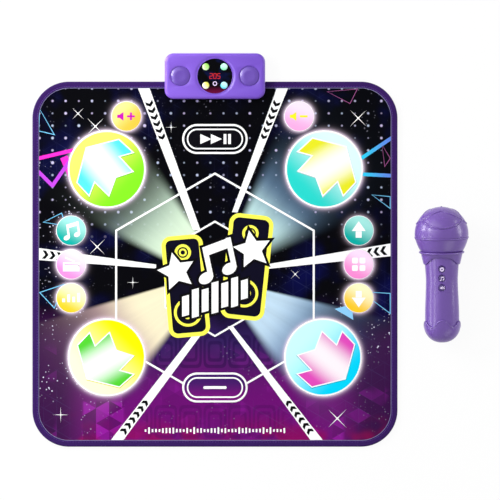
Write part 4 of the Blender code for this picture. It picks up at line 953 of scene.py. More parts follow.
def binding_profile():
    """Section of the edge tape as (inset, height), wrapped from the top face to the underside."""
    high, wall, soft = BINDING_HIGH, BINDING_WALL, BINDING_ROUND
    outer = [(BINDING_WIDTH, high - 0.0007), (BINDING_WIDTH - 0.0005, high - 0.0001),
             (BINDING_WIDTH - 0.002, high - 0.0001), (STITCH_INSET, high - 0.0003),
             (STITCH_INSET - 0.0025, high), (soft + 0.002, high)]
    outer += [(soft - y, high - soft + x) for x, y in arc(soft, 0, 90, 5)]
    outer += [(soft - x, soft - y) for x, y in arc(soft, 0, 90, 5)]
    outer += [(BINDING_WIDTH - 0.0005, 0.0), (BINDING_WIDTH, 0.0004)]
    inner = [(BINDING_WIDTH, wall), (soft, wall)]
    inner += [(soft - x, soft - y) for x, y in arc(soft - wall, 90, 0, 3)][1:]
    inner += [(soft - y, high - soft + x) for x, y in arc(soft - wall, 90, 0, 3)][:-1]
    inner += [(soft, high - wall), (BINDING_WIDTH, high - wall)]
    return outer + inner


def make_binding():
    """Edge tape with its stitches and the pale line along its inner edge."""
    stations = edge_stations()
    profile = binding_profile()
    shape = bmesh.new()
    layer = shape.loops.layers.uv.new("print")
    rows = []
    for number, station in enumerate(stations):
        pucker = 0.00012 if number % 2 else -0.00006
        row = []
        for inset, height in profile:
            dip = pucker if height > BINDING_HIGH - BINDING_WALL / 2 and inset > BINDING_ROUND else 0.0
            row.append(shape.verts.new((*on_edge(station, inset), height - dip)))
        rows.append(row)
    across = [0.0]
    for a, b in zip(profile, profile[1:] + profile[:1]):
        across.append(across[-1] + math.dist(a, b))
    count = len(profile)
    for here, after, low, high in zip(rows, rows[1:], stations, stations[1:]):
        for step in range(count):
            following = (step + 1) % count
            face = shape.faces.new((here[step], after[step], after[following], here[following]))
            corners = ((low[2], across[step]), (high[2], across[step]),
                       (high[2], across[step + 1]), (low[2], across[step + 1]))
            for loop, (u, v) in zip(face.loops, corners):
                loop[layer].uv = (u / PRINT_WIDTH + 0.5, v / PRINT_WIDTH + 0.5)
    shape.faces.new(rows[0])
    shape.faces.new(rows[-1])
    web = box_outline(-HOST_X - CLEARANCE, MAT_HALF - BINDING_WALL + CLEARANCE,
                      HOST_X + CLEARANCE, MAT_HALF)
    add_plate(shape, web, 0.0, HOST_LOW - CLEARANCE)
    tape = make_piece("edge_tape", shape, [tape_weave()])
    cut_fold(tape)
    bend(tape)
    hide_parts("mat_binding_rear", "mat_binding_front")
    return tape, make_stitches(), make_edge_line()


def make_stitches():
    """A row of short stitches along the tape."""
    shape = bmesh.new()
    sides = 6
    section = ((-0.5, 0.35), (-0.38, 1.0), (0.38, 1.0), (0.5, 0.35))
    up = Vector((0.0, 0.0, 1.0))
    for station in edge_stations()[1::2]:
        angle = station[1]
        along = Vector((-math.sin(angle), math.cos(angle), 0.0))
        out = Vector((math.cos(angle), math.sin(angle), 0.0))
        centre = Vector((*on_edge(station, STITCH_INSET), BINDING_HIGH - 0.0002))
        rows = []
        for share, width in section:
            row = []
            for side in range(sides):
                turn = 2 * math.pi * side / sides
                off = out * math.cos(turn) + up * math.sin(turn)
                row.append(centre + along * (share * STITCH_LENGTH) + off * (STITCH_RADIUS * width))
            rows.append(row)
        add_rows(shape, rows, capped=True)
    stitches = make_piece("tape_stitches", shape, [thread()])
    bend(stitches)
    return stitches


def make_edge_line():
    """Pale line along the tape's inner edge, a thin flat strip on the cover."""
    outer = mat_outline(BINDING_WIDTH - 0.0004)
    inner = mat_outline(BINDING_WIDTH + 0.0013)
    shape = add_plate(bmesh.new(), outer, COVER_HIGH - INK / 2, COVER_HIGH + 2 * INK, [inner])
    line = make_piece("edge_line", shape, [ink("edge_line_finish", (122, 118, 156))])
    lay_over_fold(line)
    return line


# Print on the mat

SPOKES = (
    ((-168.6, 385.8), (-143.4, 385.8), (-31.7, 75.0), (-48.1, 75.0)),
    ((135.3, 385.8), (160.0, 385.8), (49.4, 114.0), (37.4, 114.0)),
    ((-386.6, 9.2), (-386.6, 35.5), (-129.0, -0.7), (-129.0, -9.4)),
    ((384.6, 45.4), (384.6, 17.5), (118.0, -10.0), (118.0, 0.4)),
    ((-200.4, -385.0), (-227.8, -385.0), (-41.5, -146.0), (-24.0, -146.0)),
    ((236.0, -385.0), (209.0, -385.0), (28.0, -136.0), (39.5, -136.0)),
)
CHEVRON_STARTS = (30, 30, 8, 8, 18, 18)
CHEVRON_COUNTS = (6, 6, 3, 3, 6, 6)
CHEVRON_PITCH = 15.5


def hexagon(centre_y, radius):
    """Hexagon with a point at its top."""
    angles = [math.radians(30 + 60 * step) for step in range(6)]
    return [(radius * math.cos(a), centre_y + radius * math.sin(a)) for a in angles]


def outline_ring(points, width):
    """A closed line of a width along an outline: the outer outline and its hole."""
    return grown(points, width / 2), [grown(points, -width / 2)]


def bar(width, depth, centre=(0.0, 0.0), degrees=0.0):
    return turned(box_outline(-width / 2, -depth / 2, width / 2, depth / 2), degrees, centre)


def star(outer, inner, points, centre=(0.0, 0.0), degrees=90.0):
    """Star with a number of points."""
    made = []
    for step in range(2 * points):
        radius = outer if step % 2 == 0 else inner
        angle = math.pi * step / points
        made.append((radius * math.cos(angle), radius * math.sin(angle)))
    return turned(made, degrees, centre)


def note_head(width, depth, centre):
    """Leaning oval."""
    return turned([(x * width / 2, y * depth / 2) for x, y in circle(1.0, 32)], 20.0, centre)


def stroke(points, width):
    """Bars along a line of points, as separate outlines."""
    made = []
    for a, b in zip(points, points[1:]):
        dx, dy = b[0] - a[0], b[1] - a[1]
        length = math.hypot(dx, dy)
        middle = ((a[0] + b[0]) / 2, (a[1] + b[1]) / 2)
        made.append(bar(length + width * 0.4, width, middle, math.degrees(math.atan2(dy, dx))))
    return made


def chevrons():
    """Black chevrons near the outer end of each spoke, pointing to the middle."""
    made = []
    for corners, start, count in zip(SPOKES, CHEVRON_STARTS, CHEVRON_COUNTS):
        outer = Vector(corners[0]).lerp(Vector(corners[1]), 0.5)
        inner = Vector(corners[2]).lerp(Vector(corners[3]), 0.5)
        along = (inner - outer).normalized()
        side = Vector((-along.y, along.x))
        width = abs((Vector(corners[1]) - Vector(corners[0])).dot(side))
        taper = abs((Vector(corners[2]) - Vector(corners[3])).dot(side)) - width
        for step in range(count):
            way = start + CHEVRON_PITCH * step
            share = way / (inner - outer).length
            half = (width + taper * share) * 0.36
            thick, nose = 7.5, half * 0.75
            points = ((0.0, -half), (thick, -half), (thick + nose, 0.0), (thick, half), (0.0, half),
                      (nose, 0.0))
            made.append([tuple(outer + along * (way + a) + side * b) for a, b in points])
    return made


def print_on_mat(name, shapes, level, material):
    """Print flat shapes on the cover, cut out where a key stands."""
    low = COVER_HIGH - INK / 2
    shape = add_shapes(bmesh.new(), shapes, (0.0, 0.0), low, COVER_HIGH + INK * level, INK * 0.2 / 3)
    piece = make_piece(name, shape, [material])
    wells = bmesh.new()
    for key in KEYS:
        add_plate(wells, key_outline(key, CLEARANCE, 64), low - MM, COVER_HIGH + 5 * MM)
    apply_cut(piece, wells)
    piece.data.shade_flat()
    lay_over_fold(piece)


def note_pair(centre, size, degrees, growth=0.0):
    """Two beamed music notes, made of overlapping convex shapes."""
    parts = [note_head(0.42, 0.30, (-0.34, -0.42)), note_head(0.42, 0.30, (0.34, -0.30)),
             box_outline(-0.27, -0.42, -0.13, 0.42), box_outline(0.41, -0.30, 0.55, 0.54),
             [(-0.27, 0.16), (0.55, 0.28), (0.55, 0.54), (-0.27, 0.42)]]
    return [grown(turned(scaled(part, size), degrees, centre), growth) for part in parts]


CABINETS = (((-64.0, -48.0), 82.0, 214.0, 5.0), ((70.0, -6.0), 88.0, 222.0, -6.0))
CABINET_LINE = 9.0
LEVEL_HEIGHTS = (44, 62, 50, 68, 54, 64, 42)
LEVEL_PITCH = 21.5
LEVEL_HALF_WIDTH = 7.5
LEVEL_ROW_Y = -73.0
CENTRE_RISE = 0.28


def centre_shapes(growth):
    """Bold shapes of the middle: a pair of notes between stars, over a row of level bars."""
    made = note_pair((0.0, 8.0), 80.0, 12.0, growth)
    for place, degrees in (((-84.0, -16.0), 104.0), ((82.0, 32.0), 100.0)):
        made.append(grown(star(43.0, 21.0, 5, place, degrees), growth))
    middle = (len(LEVEL_HEIGHTS) - 1) / 2
    for number, height in enumerate(LEVEL_HEIGHTS):
        x = (number - middle) * LEVEL_PITCH
        y = LEVEL_ROW_Y + x * CENTRE_RISE
        corners = box_outline(-LEVEL_HALF_WIDTH, -height / 2, LEVEL_HALF_WIDTH, height / 2)
        made.append(grown([(x + a, y + b + a * CENTRE_RISE) for a, b in corners], growth))
    return made


def make_centre():
    """Generic design in the middle: two neon loudspeakers behind bold white shapes."""
    fills = []
    neon = []
    for centre, width, depth, degrees in CABINETS:
        cabinet = turned(rounded_rectangle(width, depth, width * 0.2, steps=8), degrees, centre)
        fills.append(cabinet)
        neon.append(outline_ring(cabinet, CABINET_LINE))
        for size, drop in ((28.0, -58.0), (15.0, 74.0)):
            place = turned([(0.0, drop)], degrees, centre)[0]
            neon.append(outline_ring(circle(size, 48, place), 6.0))
            neon.append(outline_ring(circle(size * 0.45, 36, place), 4.0))
    print_on_mat("print_centre_fill", fills, 1.0, ink("centre_fill_ink", (8, 6, 26)))
    print_on_mat("print_centre_neon", neon, 1.6, ink("neon_yellow_ink", (250, 244, 84)))
    print_on_mat("print_centre_outline", centre_shapes(5.5), 2.4, ink("black_ink", (4, 3, 6)))
    print_on_mat("print_centre_shapes", centre_shapes(0.0), 3.2, ink("white_ink", (252, 252, 252)))


SPARKLES = ((-300, 330, 18, 45), (-262, 302, 25, 45), (314, 320, 25, 45), (-258, 38, 24, 45),
            (268, -338, 28, 45), (176, -22, 14, 45), (-96, 300, 13, 0),
            (-338, -330, 18, 0), (96, 246, 12, 45), (-180, -40, 14, 0))
FINE_TRIANGLES = (
    # name, colour, and the line width and three corners of each triangle
    ("blue", (112, 190, 232), ((1.8, (-384, 340), (-352, 284), (-386, 292)),
                               (1.8, (-376, 92), (-336, 112), (-326, 84)),
                               (1.8, (-384, -62), (-330, -44), (-352, -96)),
                               (1.8, (320, -60), (384, -64), (384, -108)),
                               (1.6, (344, 152), (384, 148), (384, 122)))),
    ("pink", (150, 80, 134), ((1.3, (246, 378), (296, 352), (312, 384)),
                              (1.6, (366, 262), (384, 232), (372, 214)))),
)


def make_print(white):
    """Spokes, hexagons, chevrons and sparkles."""
    lines = [list(corners) for corners in SPOKES]
    for centre_y, radius, width in (INNER_HEXAGON, OUTER_HEXAGON):
        lines.append(outline_ring(hexagon(centre_y, radius), width))
    print_on_mat("print_lines", lines, 0.6, white)
    print_on_mat("print_chevrons", chevrons(), 1.2, ink("chevron_ink", (6, 5, 8)))

    sparkles = [star(size, size * 0.055, 4, (x, y), turn) for x, y, size, turn in SPARKLES]
    sparkles += [circle(1.2 + size * 0.05, 16, (x, y)) for x, y, size, _ in SPARKLES]
    print_on_mat("print_sparkles", sparkles, 0.6, white)


def make_neon():
    """Coloured strokes and triangles near the mat's edge."""
    pink = stroke([(-386, 232), (-310, 250)], 8) + stroke([(-330, 232), (-302, 168)], 17)
    print_on_mat("print_pink", pink, 0.6, ink("neon_pink_ink", (236, 44, 190)))
    print_on_mat("print_violet", stroke([(-386, 202), (-356, 172), (-302, 250)], 8), 0.9,
                 ink("neon_violet_ink", (182, 66, 216)))
    cyan = stroke([(386, 276), (312, 226)], 8) + stroke([(386, 194), (304, 198)], 8)
    print_on_mat("print_cyan", cyan, 0.6,
                 gradient_ink("neon_cyan_ink", (40, 200, 236), (92, 132, 222), 0, 316, 386))
    blue = [[(262, -98), (300, -88), (303, -122)], [(294, 76), (316, 88), (314, 66)]]
    print_on_mat("print_blue", blue, 0.6, ink("neon_blue_ink", (138, 200, 242)))
    for label, colour, triangles in FINE_TRIANGLES:
        print_on_mat(f"print_fine_{label}", [outline_ring(list(corners), width)
                                             for width, *corners in triangles], 0.6,
                     ink(f"fine_{label}_ink", colour))


def make_level_row(white):
    """Row of small level bars along the front edge."""
    count = 41
    bars = []
    for number in range(count):
        height = 5.0 + 10.0 * abs(math.sin(number * 1.7) * math.cos(number * 0.45))
        bars.append(bar(3.6, height, (-152 + 304 * number / (count - 1), -364.5)))
    print_on_mat("print_level_row", bars, 0.6, white)


# Keys

ARROW = ((-45.1, 46.5), (28.3, 65.1), (62.2, 34.4), (30.5, 25.6), (61.1, -7.2), (21.7, -20.4),
         (6.4, -62.0), (-25.4, -31.3), (-37.5, -62.0), (-66.0, -31.3))
PADS = {
    # first and second colour of the print and its direction; the arrow's colour, shift, scale, and
    # the direction and start of its own run of colour
    "pad_rear_left": ((255, 250, 104), (126, 232, 34), -45,
                      (82, 214, 220), (-1.2, 1.7), (0.99, 1.0), (39, 0)),
    "pad_rear_right": ((40, 206, 196), (214, 248, 248), 45,
                       (224, 224, 36), (3.0, 3.1), (1.02, 1.02), (120, 0)),
    "pad_front_left": ((255, 250, 206), (255, 252, 0), 45,
                       (80, 202, 48), (0.0, -3.5), (0.99, 0.963), (120, -6)),
    "pad_front_right": ((198, 252, 248), (0, 210, 246), -45,
                        (222, 74, 184), (3.6, -2.3), (1.012, 0.984), (51, 3)),
}
# Round keys: first and second colour of the print and its direction
REAR_KEY = ((10, 166, 156), (160, 226, 218), 60)
MIDDLE_KEY = ((246, 138, 208), (252, 220, 244), 60)
FRONT_KEY = ((250, 200, 40), (255, 246, 196), 60)
ROUND_KEYS = {
    "key_volume_up": ((255, 226, 140), (255, 190, 66), -45),
    "key_volume_down": ((246, 166, 218), (255, 222, 244), 70),
    "key_left_rear": REAR_KEY, "key_right_rear": REAR_KEY,
    "key_left_middle": MIDDLE_KEY, "key_right_middle": MIDDLE_KEY,
    "key_left_front": FRONT_KEY, "key_right_front": FRONT_KEY,
}


def make_key(name, print_material, rim_material, rim):
    """A key: white rim and printed top on a foam disc, a little pillowed."""
    low, top = KEY_LOW, KEY_TOP
    levels = [(-0.008, low), (-0.008, low + 0.0006), (0.0, low + 0.0006)]
    levels += beside(0.0, top, (0.0, -0.0008), (-0.0002, -0.0004), (-0.0007, -0.0002))
    levels += beside(-rim, top, (0.0, -0.00008), (-0.0002, -0.00012), (-0.0006, -0.00008), (-0.005, 0.0))
    bands = [0, 0, 0, 0, 0, 0, 1, 1, 1]
    shape = add_stack(bmesh.new(), [(key_outline(name, growth), height) for growth, height in levels],
                      bands)
    key = make_piece(f"{name}_face", shape, [rim_material, print_material])
    lay_print(key, KEYS[name][:2])
    carry(key, name, name)


def print_on_key(name, label, shapes, level, material):
    """Print flat shapes on a key, in millimetres from its centre."""
    centre = KEYS[name][:2]
    shape = add_shapes(bmesh.new(), shapes, centre, KEY_TOP - INK, KEY_TOP + INK * level, INK * 0.1)
    piece = make_piece(f"{name}_{label}", shape, [material])
    piece.data.shade_flat()
    lay_print(piece, centre)
    carry(piece, name)


def make_pads():
    """The four arrow pads."""
    rim = ink("pad_rim_ink", (255, 255, 255))
    for (name, finish), (side_x, side_y) in zip(PADS.items(), UP):
        first, second, degrees, tip, shift, scale, run = finish
        face = gradient_ink(f"{name}_ink", first, second, degrees, -62.0, 62.0)
        make_key(name, face, rim, 0.0037)
        mirror_x = 1 if side_x < 0 else -1
        arrow = [(x * mirror_x * scale[0] + shift[0], y * side_y * scale[1] + shift[1])
                 for x, y in ARROW]
        shade = tuple(round(channel * 0.78) for channel in second)
        print_on_key(name, "arrow_shade", [grown([(x + 0.5, y - 1.3) for x, y in arrow], 0.8)], 0.3,
                     ink(f"{name}_shade_ink", shade))
        print_on_key(name, "arrow_edge", [grown(arrow, 0.3)], 0.9, rim)
        print_on_key(name, "arrow", [grown(arrow, -2.3)], 1.6, arrow_ink(f"{name}_arrow_ink", tip, *run))


def icon_shapes():
    """Plain pictograms of the round keys, in millimetres."""
    up = [[(0, 20.5), (-15.4, -1), (15.4, -1)], bar(13.2, 14, (0, -8.6))]
    down = [[(x, -y) for x, y in part] for part in up]
    tiles = [rounded_rectangle(13.0, 13.0, 3.0, (a * 8.2, b * 8.2), steps=4) for a, b in UP]
    drum = [bar(36, 13, (0, -9)), bar(36, 3.2, (0, 2.5)), bar(3.2, 7, (-16.4, -1)),
            bar(3.2, 7, (16.4, -1)), bar(22, 3.2, (-3, 10.5), -24)]
    levels = [bar(6.0, height, (x, -9 + height / 2)) for x, height in
              ((-16.5, 8), (-5.5, 17), (5.5, 12), (16.5, 20))]
    sound = [bar(6.5, 7, (-17, 0)), [(-15, -3.5), (-6.5, -9.5), (-6.5, 9.5), (-15, 3.5)]]
    plus = [*sound, bar(17, 4.4, (10, 0)), bar(4.4, 17, (10, 0))]
    minus = [*sound, bar(17, 4.4, (10, 0))]
    return {"key_right_rear": up, "key_right_front": down, "key_right_middle": tiles,
            "key_left_middle": drum, "key_left_front": levels, "key_left_rear": note_pair((0, 0), 34, 8),
            "key_volume_up": plus, "key_volume_down": minus}


def make_round_keys():
    """The eight small round keys with their pictograms."""
    rim = bpy.data.materials["pad_rim_ink"]
    pale = ink("icon_ink", (255, 253, 255))
    magenta = ink("icon_magenta_ink", (190, 20, 170))
    yellow = ink("icon_yellow_ink", (255, 234, 40))
    for name, (first, second, degrees) in ROUND_KEYS.items():
        face = gradient_ink(f"{name}_ink", first, second, degrees, -26.0, 24.0)
        make_key(name, face, rim, 0.0012)
        colour = {"key_volume_up": magenta, "key_volume_down": yellow}.get(name, pale)
        print_on_key(name, "icon", icon_shapes()[name], 0.8, colour)


def make_pills():
    """The start and pause keys: black pills with two white outlines."""
    black = ink("pill_ink", (5, 4, 10))
    white = bpy.data.materials["pad_rim_ink"]
    purple = gradient_ink("pill_purple_ink", (64, 24, 98), (116, 14, 118), -90, -16.0, 28.0)
    for name, face in (("key_start", black), ("key_pause", purple)):
        make_key(name, face, white, 0.0044)
        ring = rounded_rectangle(120.0, 42.2, 21.0, steps=16)
        print_on_key(name, "inner_line", [outline_ring(ring, 3.2)], 0.8, white)
    play = [[(-32, -11), (-8, 0), (-32, 11)], [(-9, -11), (15, 0), (-9, 11)],
            bar(6, 22, (22, 0)), bar(6, 22, (32, 0))]
    print_on_key("key_start", "icon", play, 0.8, white)
    pause = [rounded_rectangle(51.0, 6.0, 2.9, steps=6)]
    print_on_key("key_pause", "icon", pause, 0.8, white)


# Host box

HOST_CORNER = 0.020
HOST_ROUND = 0.007
HOST_WALL = 0.0022
WINDOW_RADIUS = 0.0383
DISH_RADIUS = 0.0452
BUTTON_X = 0.0756
BUTTON_RADIUS = 0.0208
BUTTON_FLANK = 0.0095
BUTTON_WELL = 0.0240
LAMP_RADIUS = 0.0077
LAMP_X, LAMP_REAR, LAMP_FRONT = 0.0200, HOST_Y + 0.0203, HOST_Y - 0.0203
LAMPS = {
    # place, colour of the rim and of the middle
    "rear_left": ((-LAMP_X, LAMP_REAR), (206, 240, 176), (150, 216, 92)),
    "rear_right": ((LAMP_X, LAMP_REAR), (132, 224, 176), (196, 250, 220)),
    "front_left": ((-LAMP_X, LAMP_FRONT), (248, 246, 214), (226, 226, 96)),
    "front_right": ((LAMP_X, LAMP_FRONT), (104, 208, 230), (190, 244, 250)),
}
POWER_PLACE = (0.0, HOST_Y - 0.0165)
POWER_RADIUS = 0.0058


def host_outline(inset, steps=16):
    width = 2 * (HOST_X - inset)
    depth = HOST_MAX.y - HOST_MIN.y - 2 * inset
    return rounded_rectangle(width, depth, max(HOST_CORNER - inset, 0.001), (0.0, HOST_Y), steps)


def make_host_shell(material):
    """Upper shell with its dished window ring and the two button wells."""
    outer = [(0.0006, HOST_LOW), (0.0, HOST_LOW + 0.0006)]
    outer += [(HOST_ROUND - x, HOST_TOP - HOST_ROUND + y) for x, y in arc(HOST_ROUND, 0, 90, 9)]
    inner = [(HOST_WALL, HOST_LOW), (HOST_WALL, HOST_TOP - 0.008), (0.005, HOST_TOP - 0.0036)]
    shape = bmesh.new()
    levels = [(host_outline(inset), height) for inset, height in inner[::-1] + outer]
    add_stack(shape, levels)
    shell = make_piece("host_shell", shape, [material], sharp=28)
    holes = bmesh.new()
    above, below = HOST_TOP + 0.002, HOST_TOP - 0.006
    window = [(0.0, below), (WINDOW_RADIUS, below)]
    window += beside(WINDOW_RADIUS, LENS_TOP, (0.0, 0.0004), (0.0004, 0.0008), (0.0010, 0.0009),
                     (0.0015, 0.0006), (0.0018, 0.0))
    window += beside(DISH_RADIUS, HOST_TOP, (-0.0012, -0.0005), (-0.00048, -0.00012),
                     (0.00036, 0.0), (0.00036, 0.002))
    window.append((0.0, above))
    add_turned(holes, window, 128, (0.0, HOST_Y))
    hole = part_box("left_button")[1].x + BUTTON_X - 0.002 + CLEARANCE
    for side in (-1, 1):
        well = [(0.0, below), (hole, below), (hole, HOST_TOP - 0.0016)]
        well += beside(BUTTON_WELL, HOST_TOP, (-0.0008, -0.0005), (-0.0003, -0.0001), (0.0, 0.0))
        well += [(BUTTON_WELL, above), (0.0, above)]
        add_turned(holes, well, 96, (side * BUTTON_X, HOST_Y))
    apply_cut(shell, holes)
    shade(shell, 28)
    carry(shell, "mat_rear", "host_top_shell")


def make_side_buttons(material):
    """Two pressed buttons with a sloped flank round a flat middle."""
    low, crown = heights("left_button")
    flange = HOST_TOP - 0.0037
    for side, name in ((-1, "left_button"), (1, "right_button")):
        profile = [(0.0, low), (0.003, low), (0.003, flange - 0.0012), (0.0225, flange - 0.0012),
                   (0.0225, flange), (BUTTON_RADIUS, flange)]
        profile += beside(BUTTON_RADIUS, HOST_TOP, (0.0, -0.0008), (-0.0003, -0.0002))
        for step in range(1, 13):
            share = step / 12
            profile.append((BUTTON_RADIUS - 0.0003 - BUTTON_FLANK * share,
                            HOST_TOP - 0.0002 + (crown - HOST_TOP) * math.sin(math.pi / 2 * share)))
        profile += [(0.008, crown - 0.0004), (0.004, crown - 0.0006), (0.0, crown - 0.0006)]
        shape = add_turned(bmesh.new(), profile, 96, (side * BUTTON_X, HOST_Y))
        carry(make_piece(f"{name}_cap", shape, [material]), name, name)


def make_window(glass):
    """Dark window with holes for the lamps and the power button."""
    holes = [circle(LAMP_RADIUS + CLEARANCE, 48, lamp_row[0]) for lamp_row in LAMPS.values()]
    holes.append(circle(POWER_RADIUS + CLEARANCE, 40, POWER_PLACE))
    shape = add_plate(bmesh.new(), circle(WINDOW_RADIUS - CLEARANCE, 128, (0.0, HOST_Y)), LENS_LOW,
                      LENS_TOP, holes)
    carry(make_piece("window_lens", shape, [glass]), "mat_rear", "display_lens")


def make_lamps():
    """Four lit domes in the window."""
    low, high = heights("lamp_lenses")
    crown = high - LENS_TOP
    for name, (place, rim, tint) in LAMPS.items():
        profile = [(0.0, low), (LAMP_RADIUS, low)]
        profile += [(LAMP_RADIUS * x, LENS_TOP + crown * y) for x, y in arc(1.0, 0, 84, 10)]
        profile.append((0.0, LENS_TOP + crown))
        dome = make_piece(f"lamp_dome_{name}", add_turned(bmesh.new(), profile, 48, place),
                          [lamp(f"lamp_{name}", place, rim, tint)])
        carry(dome, "mat_rear", "lamp_lenses")


def make_power_button(glass):
    """Pressed button in the window, with a lit ring on it."""
    low, high = heights("power_button")
    profile = [(0.0, low), (0.003, low)]
    profile += beside(0.0, LENS_TOP, (0.003, -0.004), (0.0068, -0.004), (0.0068, -0.0028),
                      (POWER_RADIUS, -0.0028))
    profile += beside(POWER_RADIUS, high, (0.0, -0.0005), (-0.0005, -0.00005), (-0.001, 0.0))
    profile.append((0.0, high))
    shape = add_turned(bmesh.new(), profile, 48, POWER_PLACE)
    carry(make_piece("power_button_cap", shape, [glass]), "power_button",
          "power_button")
    ring = add_plate(bmesh.new(), circle(0.0048, 40, POWER_PLACE), high - INK, high + INK,
                     [circle(0.0031, 32, POWER_PLACE)])
    material = glowing("power_ring", (226, 206, 246), 0.2)
    carry(make_piece("power_button_ring", ring, [material]), "power_button")


DIGIT_WIDTH = 0.0055
DIGIT_HEIGHT = 0.0108
DIGIT_STROKE = 0.0015
DIGIT_PITCH = 0.0084
SEGMENTS = {"0": "abcdef", "2": "abged", "5": "afgcd"}
SHOWN = "205"


def make_digits():
    """Three lit digits of seven segments."""
    half_w, half_h = DIGIT_WIDTH / 2, DIGIT_HEIGHT / 2
    places = {"a": (0, half_h, 0), "g": (0, 0, 0), "d": (0, -half_h, 0),
              "b": (half_w, half_h / 2, 90), "c": (half_w, -half_h / 2, 90),
              "e": (-half_w, -half_h / 2, 90), "f": (-half_w, half_h / 2, 90)}
    shape = bmesh.new()
    for number, digit in enumerate(SHOWN):
        x0 = (number - (len(SHOWN) - 1) / 2) * DIGIT_PITCH
        for name in SEGMENTS[digit]:
            x, y, degrees = places[name]
            length = (DIGIT_WIDTH if degrees == 0 else half_h) + DIGIT_STROKE * 0.5
            tip = DIGIT_STROKE / 2
            points = [(-length / 2, 0), (-length / 2 + tip / 2, -tip), (length / 2 - tip / 2, -tip),
                      (length / 2, 0), (length / 2 - tip / 2, tip), (-length / 2 + tip / 2, tip)]
            placed = turned(points, degrees, (x0 + x, y))
            leaning = [(a + b * 0.04, b + HOST_Y) for a, b in placed]
            add_plate(shape, leaning, LENS_TOP - INK, LENS_TOP + INK)
    carry(make_piece("display_digits", shape, [glowing("digit_red", (196, 20, 22), 0.22)]), "mat_rear")


def make_host():
    """Upper side of the host box."""
    purple = host_plastic_painted_shade()
    make_host_shell(purple)
    make_side_buttons(plastic("button_purple", (92, 61, 160), 0.24))
    glass = window_glass_painted_reflection()
    make_window(glass)
    make_lamps()
    make_power_button(glass)
    make_digits()


# Microphone

def mic_matrix():
    """Place of the microphone, whose own Z runs from its base to its head."""
    rim = MIC_LENGTH - MIC_RIM_FROM_TOP
    across = MIC_RIM_RADIUS - (MIC_CAP_RADIUS - MIC_CAP_ROUND)
    along = rim - MIC_CAP_ROUND
    tilt = math.acos(MIC_CAP_ROUND / math.hypot(across, along)) - math.atan2(along, across)
    height = MIC_RIM_RADIUS * math.cos(tilt) - rim * math.sin(tilt)
    place = Matrix.Translation((MIC_X, MIC_BASE_Y, height))
    return place @ Matrix.Rotation(MIC_TURN, 4, 'Z') @ Matrix.Rotation(tilt - math.pi / 2, 4, 'X')


MIC = mic_matrix()
RIM_LOW = MIC_LENGTH - MIC_RIM_FROM_TOP
RIM_HIGH = RIM_LOW + 0.004
COLLAR_TOP = RIM_LOW - 0.0281 - CLEARANCE
COLLAR_WAVE = 0.0085
CAP_HEIGHT = 0.0395
CAP_WAVE = 0.0075
CAP_WAVES = 5
MIC_BUTTONS = (("upper", 0.1642), ("middle", 0.1439), ("lower", 0.1236))
HEAD_SEAM_MIDDLE = 0.0350
HEAD_SEAM_WAVE = 0.0176
HEAD_SEAM_TURNS = 1.5
HEAD_RIDGE, HEAD_RIDGE_WIDTH = 0.0014, 0.0012
HEAD_GROOVE, HEAD_GROOVE_WIDTH = 0.0013, 0.0011
HEAD_GROOVE_BELOW = 0.0026
CAP_FRONT_RISE = 0.0065
MIC_WALL = 0.0022


def place_mic(piece, body, *nodes):
    """Stand a piece that was made along Z where the microphone lies."""
    piece.data.transform(MIC)
    return carry(piece, body, *nodes)


def head_surface(point):
    """Push the head's surface out along two seams that wave round it and cross."""
    across = math.hypot(point.x, point.y)
    azimuth = HEAD_SEAM_TURNS * math.atan2(point.x, -point.y)
    push = 0.0
    for wave in (HEAD_SEAM_WAVE, -HEAD_SEAM_WAVE):
        slope = HEAD_SEAM_TURNS * wave * math.sin(azimuth) / across
        off = point.z - HEAD_SEAM_MIDDLE - wave * math.cos(azimuth)
        off /= math.hypot(across / MIC_HEAD_RADIUS, slope)
        push += HEAD_RIDGE * math.exp(-(off / HEAD_RIDGE_WIDTH) ** 2)
        push -= HEAD_GROOVE * math.exp(-((off + HEAD_GROOVE_BELOW) / HEAD_GROOVE_WIDTH) ** 2)
    return point * (1 + push / MIC_HEAD_RADIUS)


def make_mic_head(material):
    """Hollow ball of the head with its two wavy seams."""
    base = MIC_LENGTH - MIC_HEAD_RADIUS
    inside = MIC_HEAD_RADIUS - MIC_WALL
    segments = 240
    low_angle = math.degrees(math.asin((RIM_HIGH + CLEARANCE - base) / MIC_HEAD_RADIUS))
    rows = [[(0.0, 0.0, base + inside)]]
    for radius, height in arc(inside, 84, low_angle, 12):
        rows.append([(radius * math.cos(a), radius * math.sin(a), base + height)
                     for a in (2 * math.pi * step / segments for step in range(segments))])
    for radius, height in arc(MIC_HEAD_RADIUS, low_angle, 89, 150):
        row = []
        for step in range(segments):
            a = 2 * math.pi * step / segments
            point = head_surface(Vector((radius * math.cos(a), radius * math.sin(a), height)))
            row.append((point.x, point.y, base + point.z))
        rows.append(row)
    rows.append([(0.0, 0.0, base + MIC_HEAD_RADIUS)])
    shape = bmesh.new()
    add_rows(shape, rows)
    place_mic(make_piece("mic_head_dome", shape, [material], sharp=60), "microphone",
              "mic_head")


def make_mic_cup(material):
    """Cup under the head with its beaded rim."""
    bead = arc(0.002, -90, 90, 8, (MIC_RIM_RADIUS - 0.002, RIM_LOW + 0.002))
    outer = [(0.0, COLLAR_TOP + CLEARANCE), (0.0440, COLLAR_TOP + CLEARANCE)]
    for step in range(13):
        share = step / 12
        outer.append((0.0458 + 0.0127 * share ** 0.72, COLLAR_TOP + 0.0005 + 0.0276 * share))
    inner = [(0.0568, RIM_HIGH), (0.0545, RIM_LOW), (0.0434, COLLAR_TOP + 0.0025),
             (0.0, COLLAR_TOP + 0.0025)]
    shape = add_turned(bmesh.new(), outer + bead + inner, 128)
    place_mic(make_piece("mic_cup", shape, [material]), "microphone", "mic_head_cup")


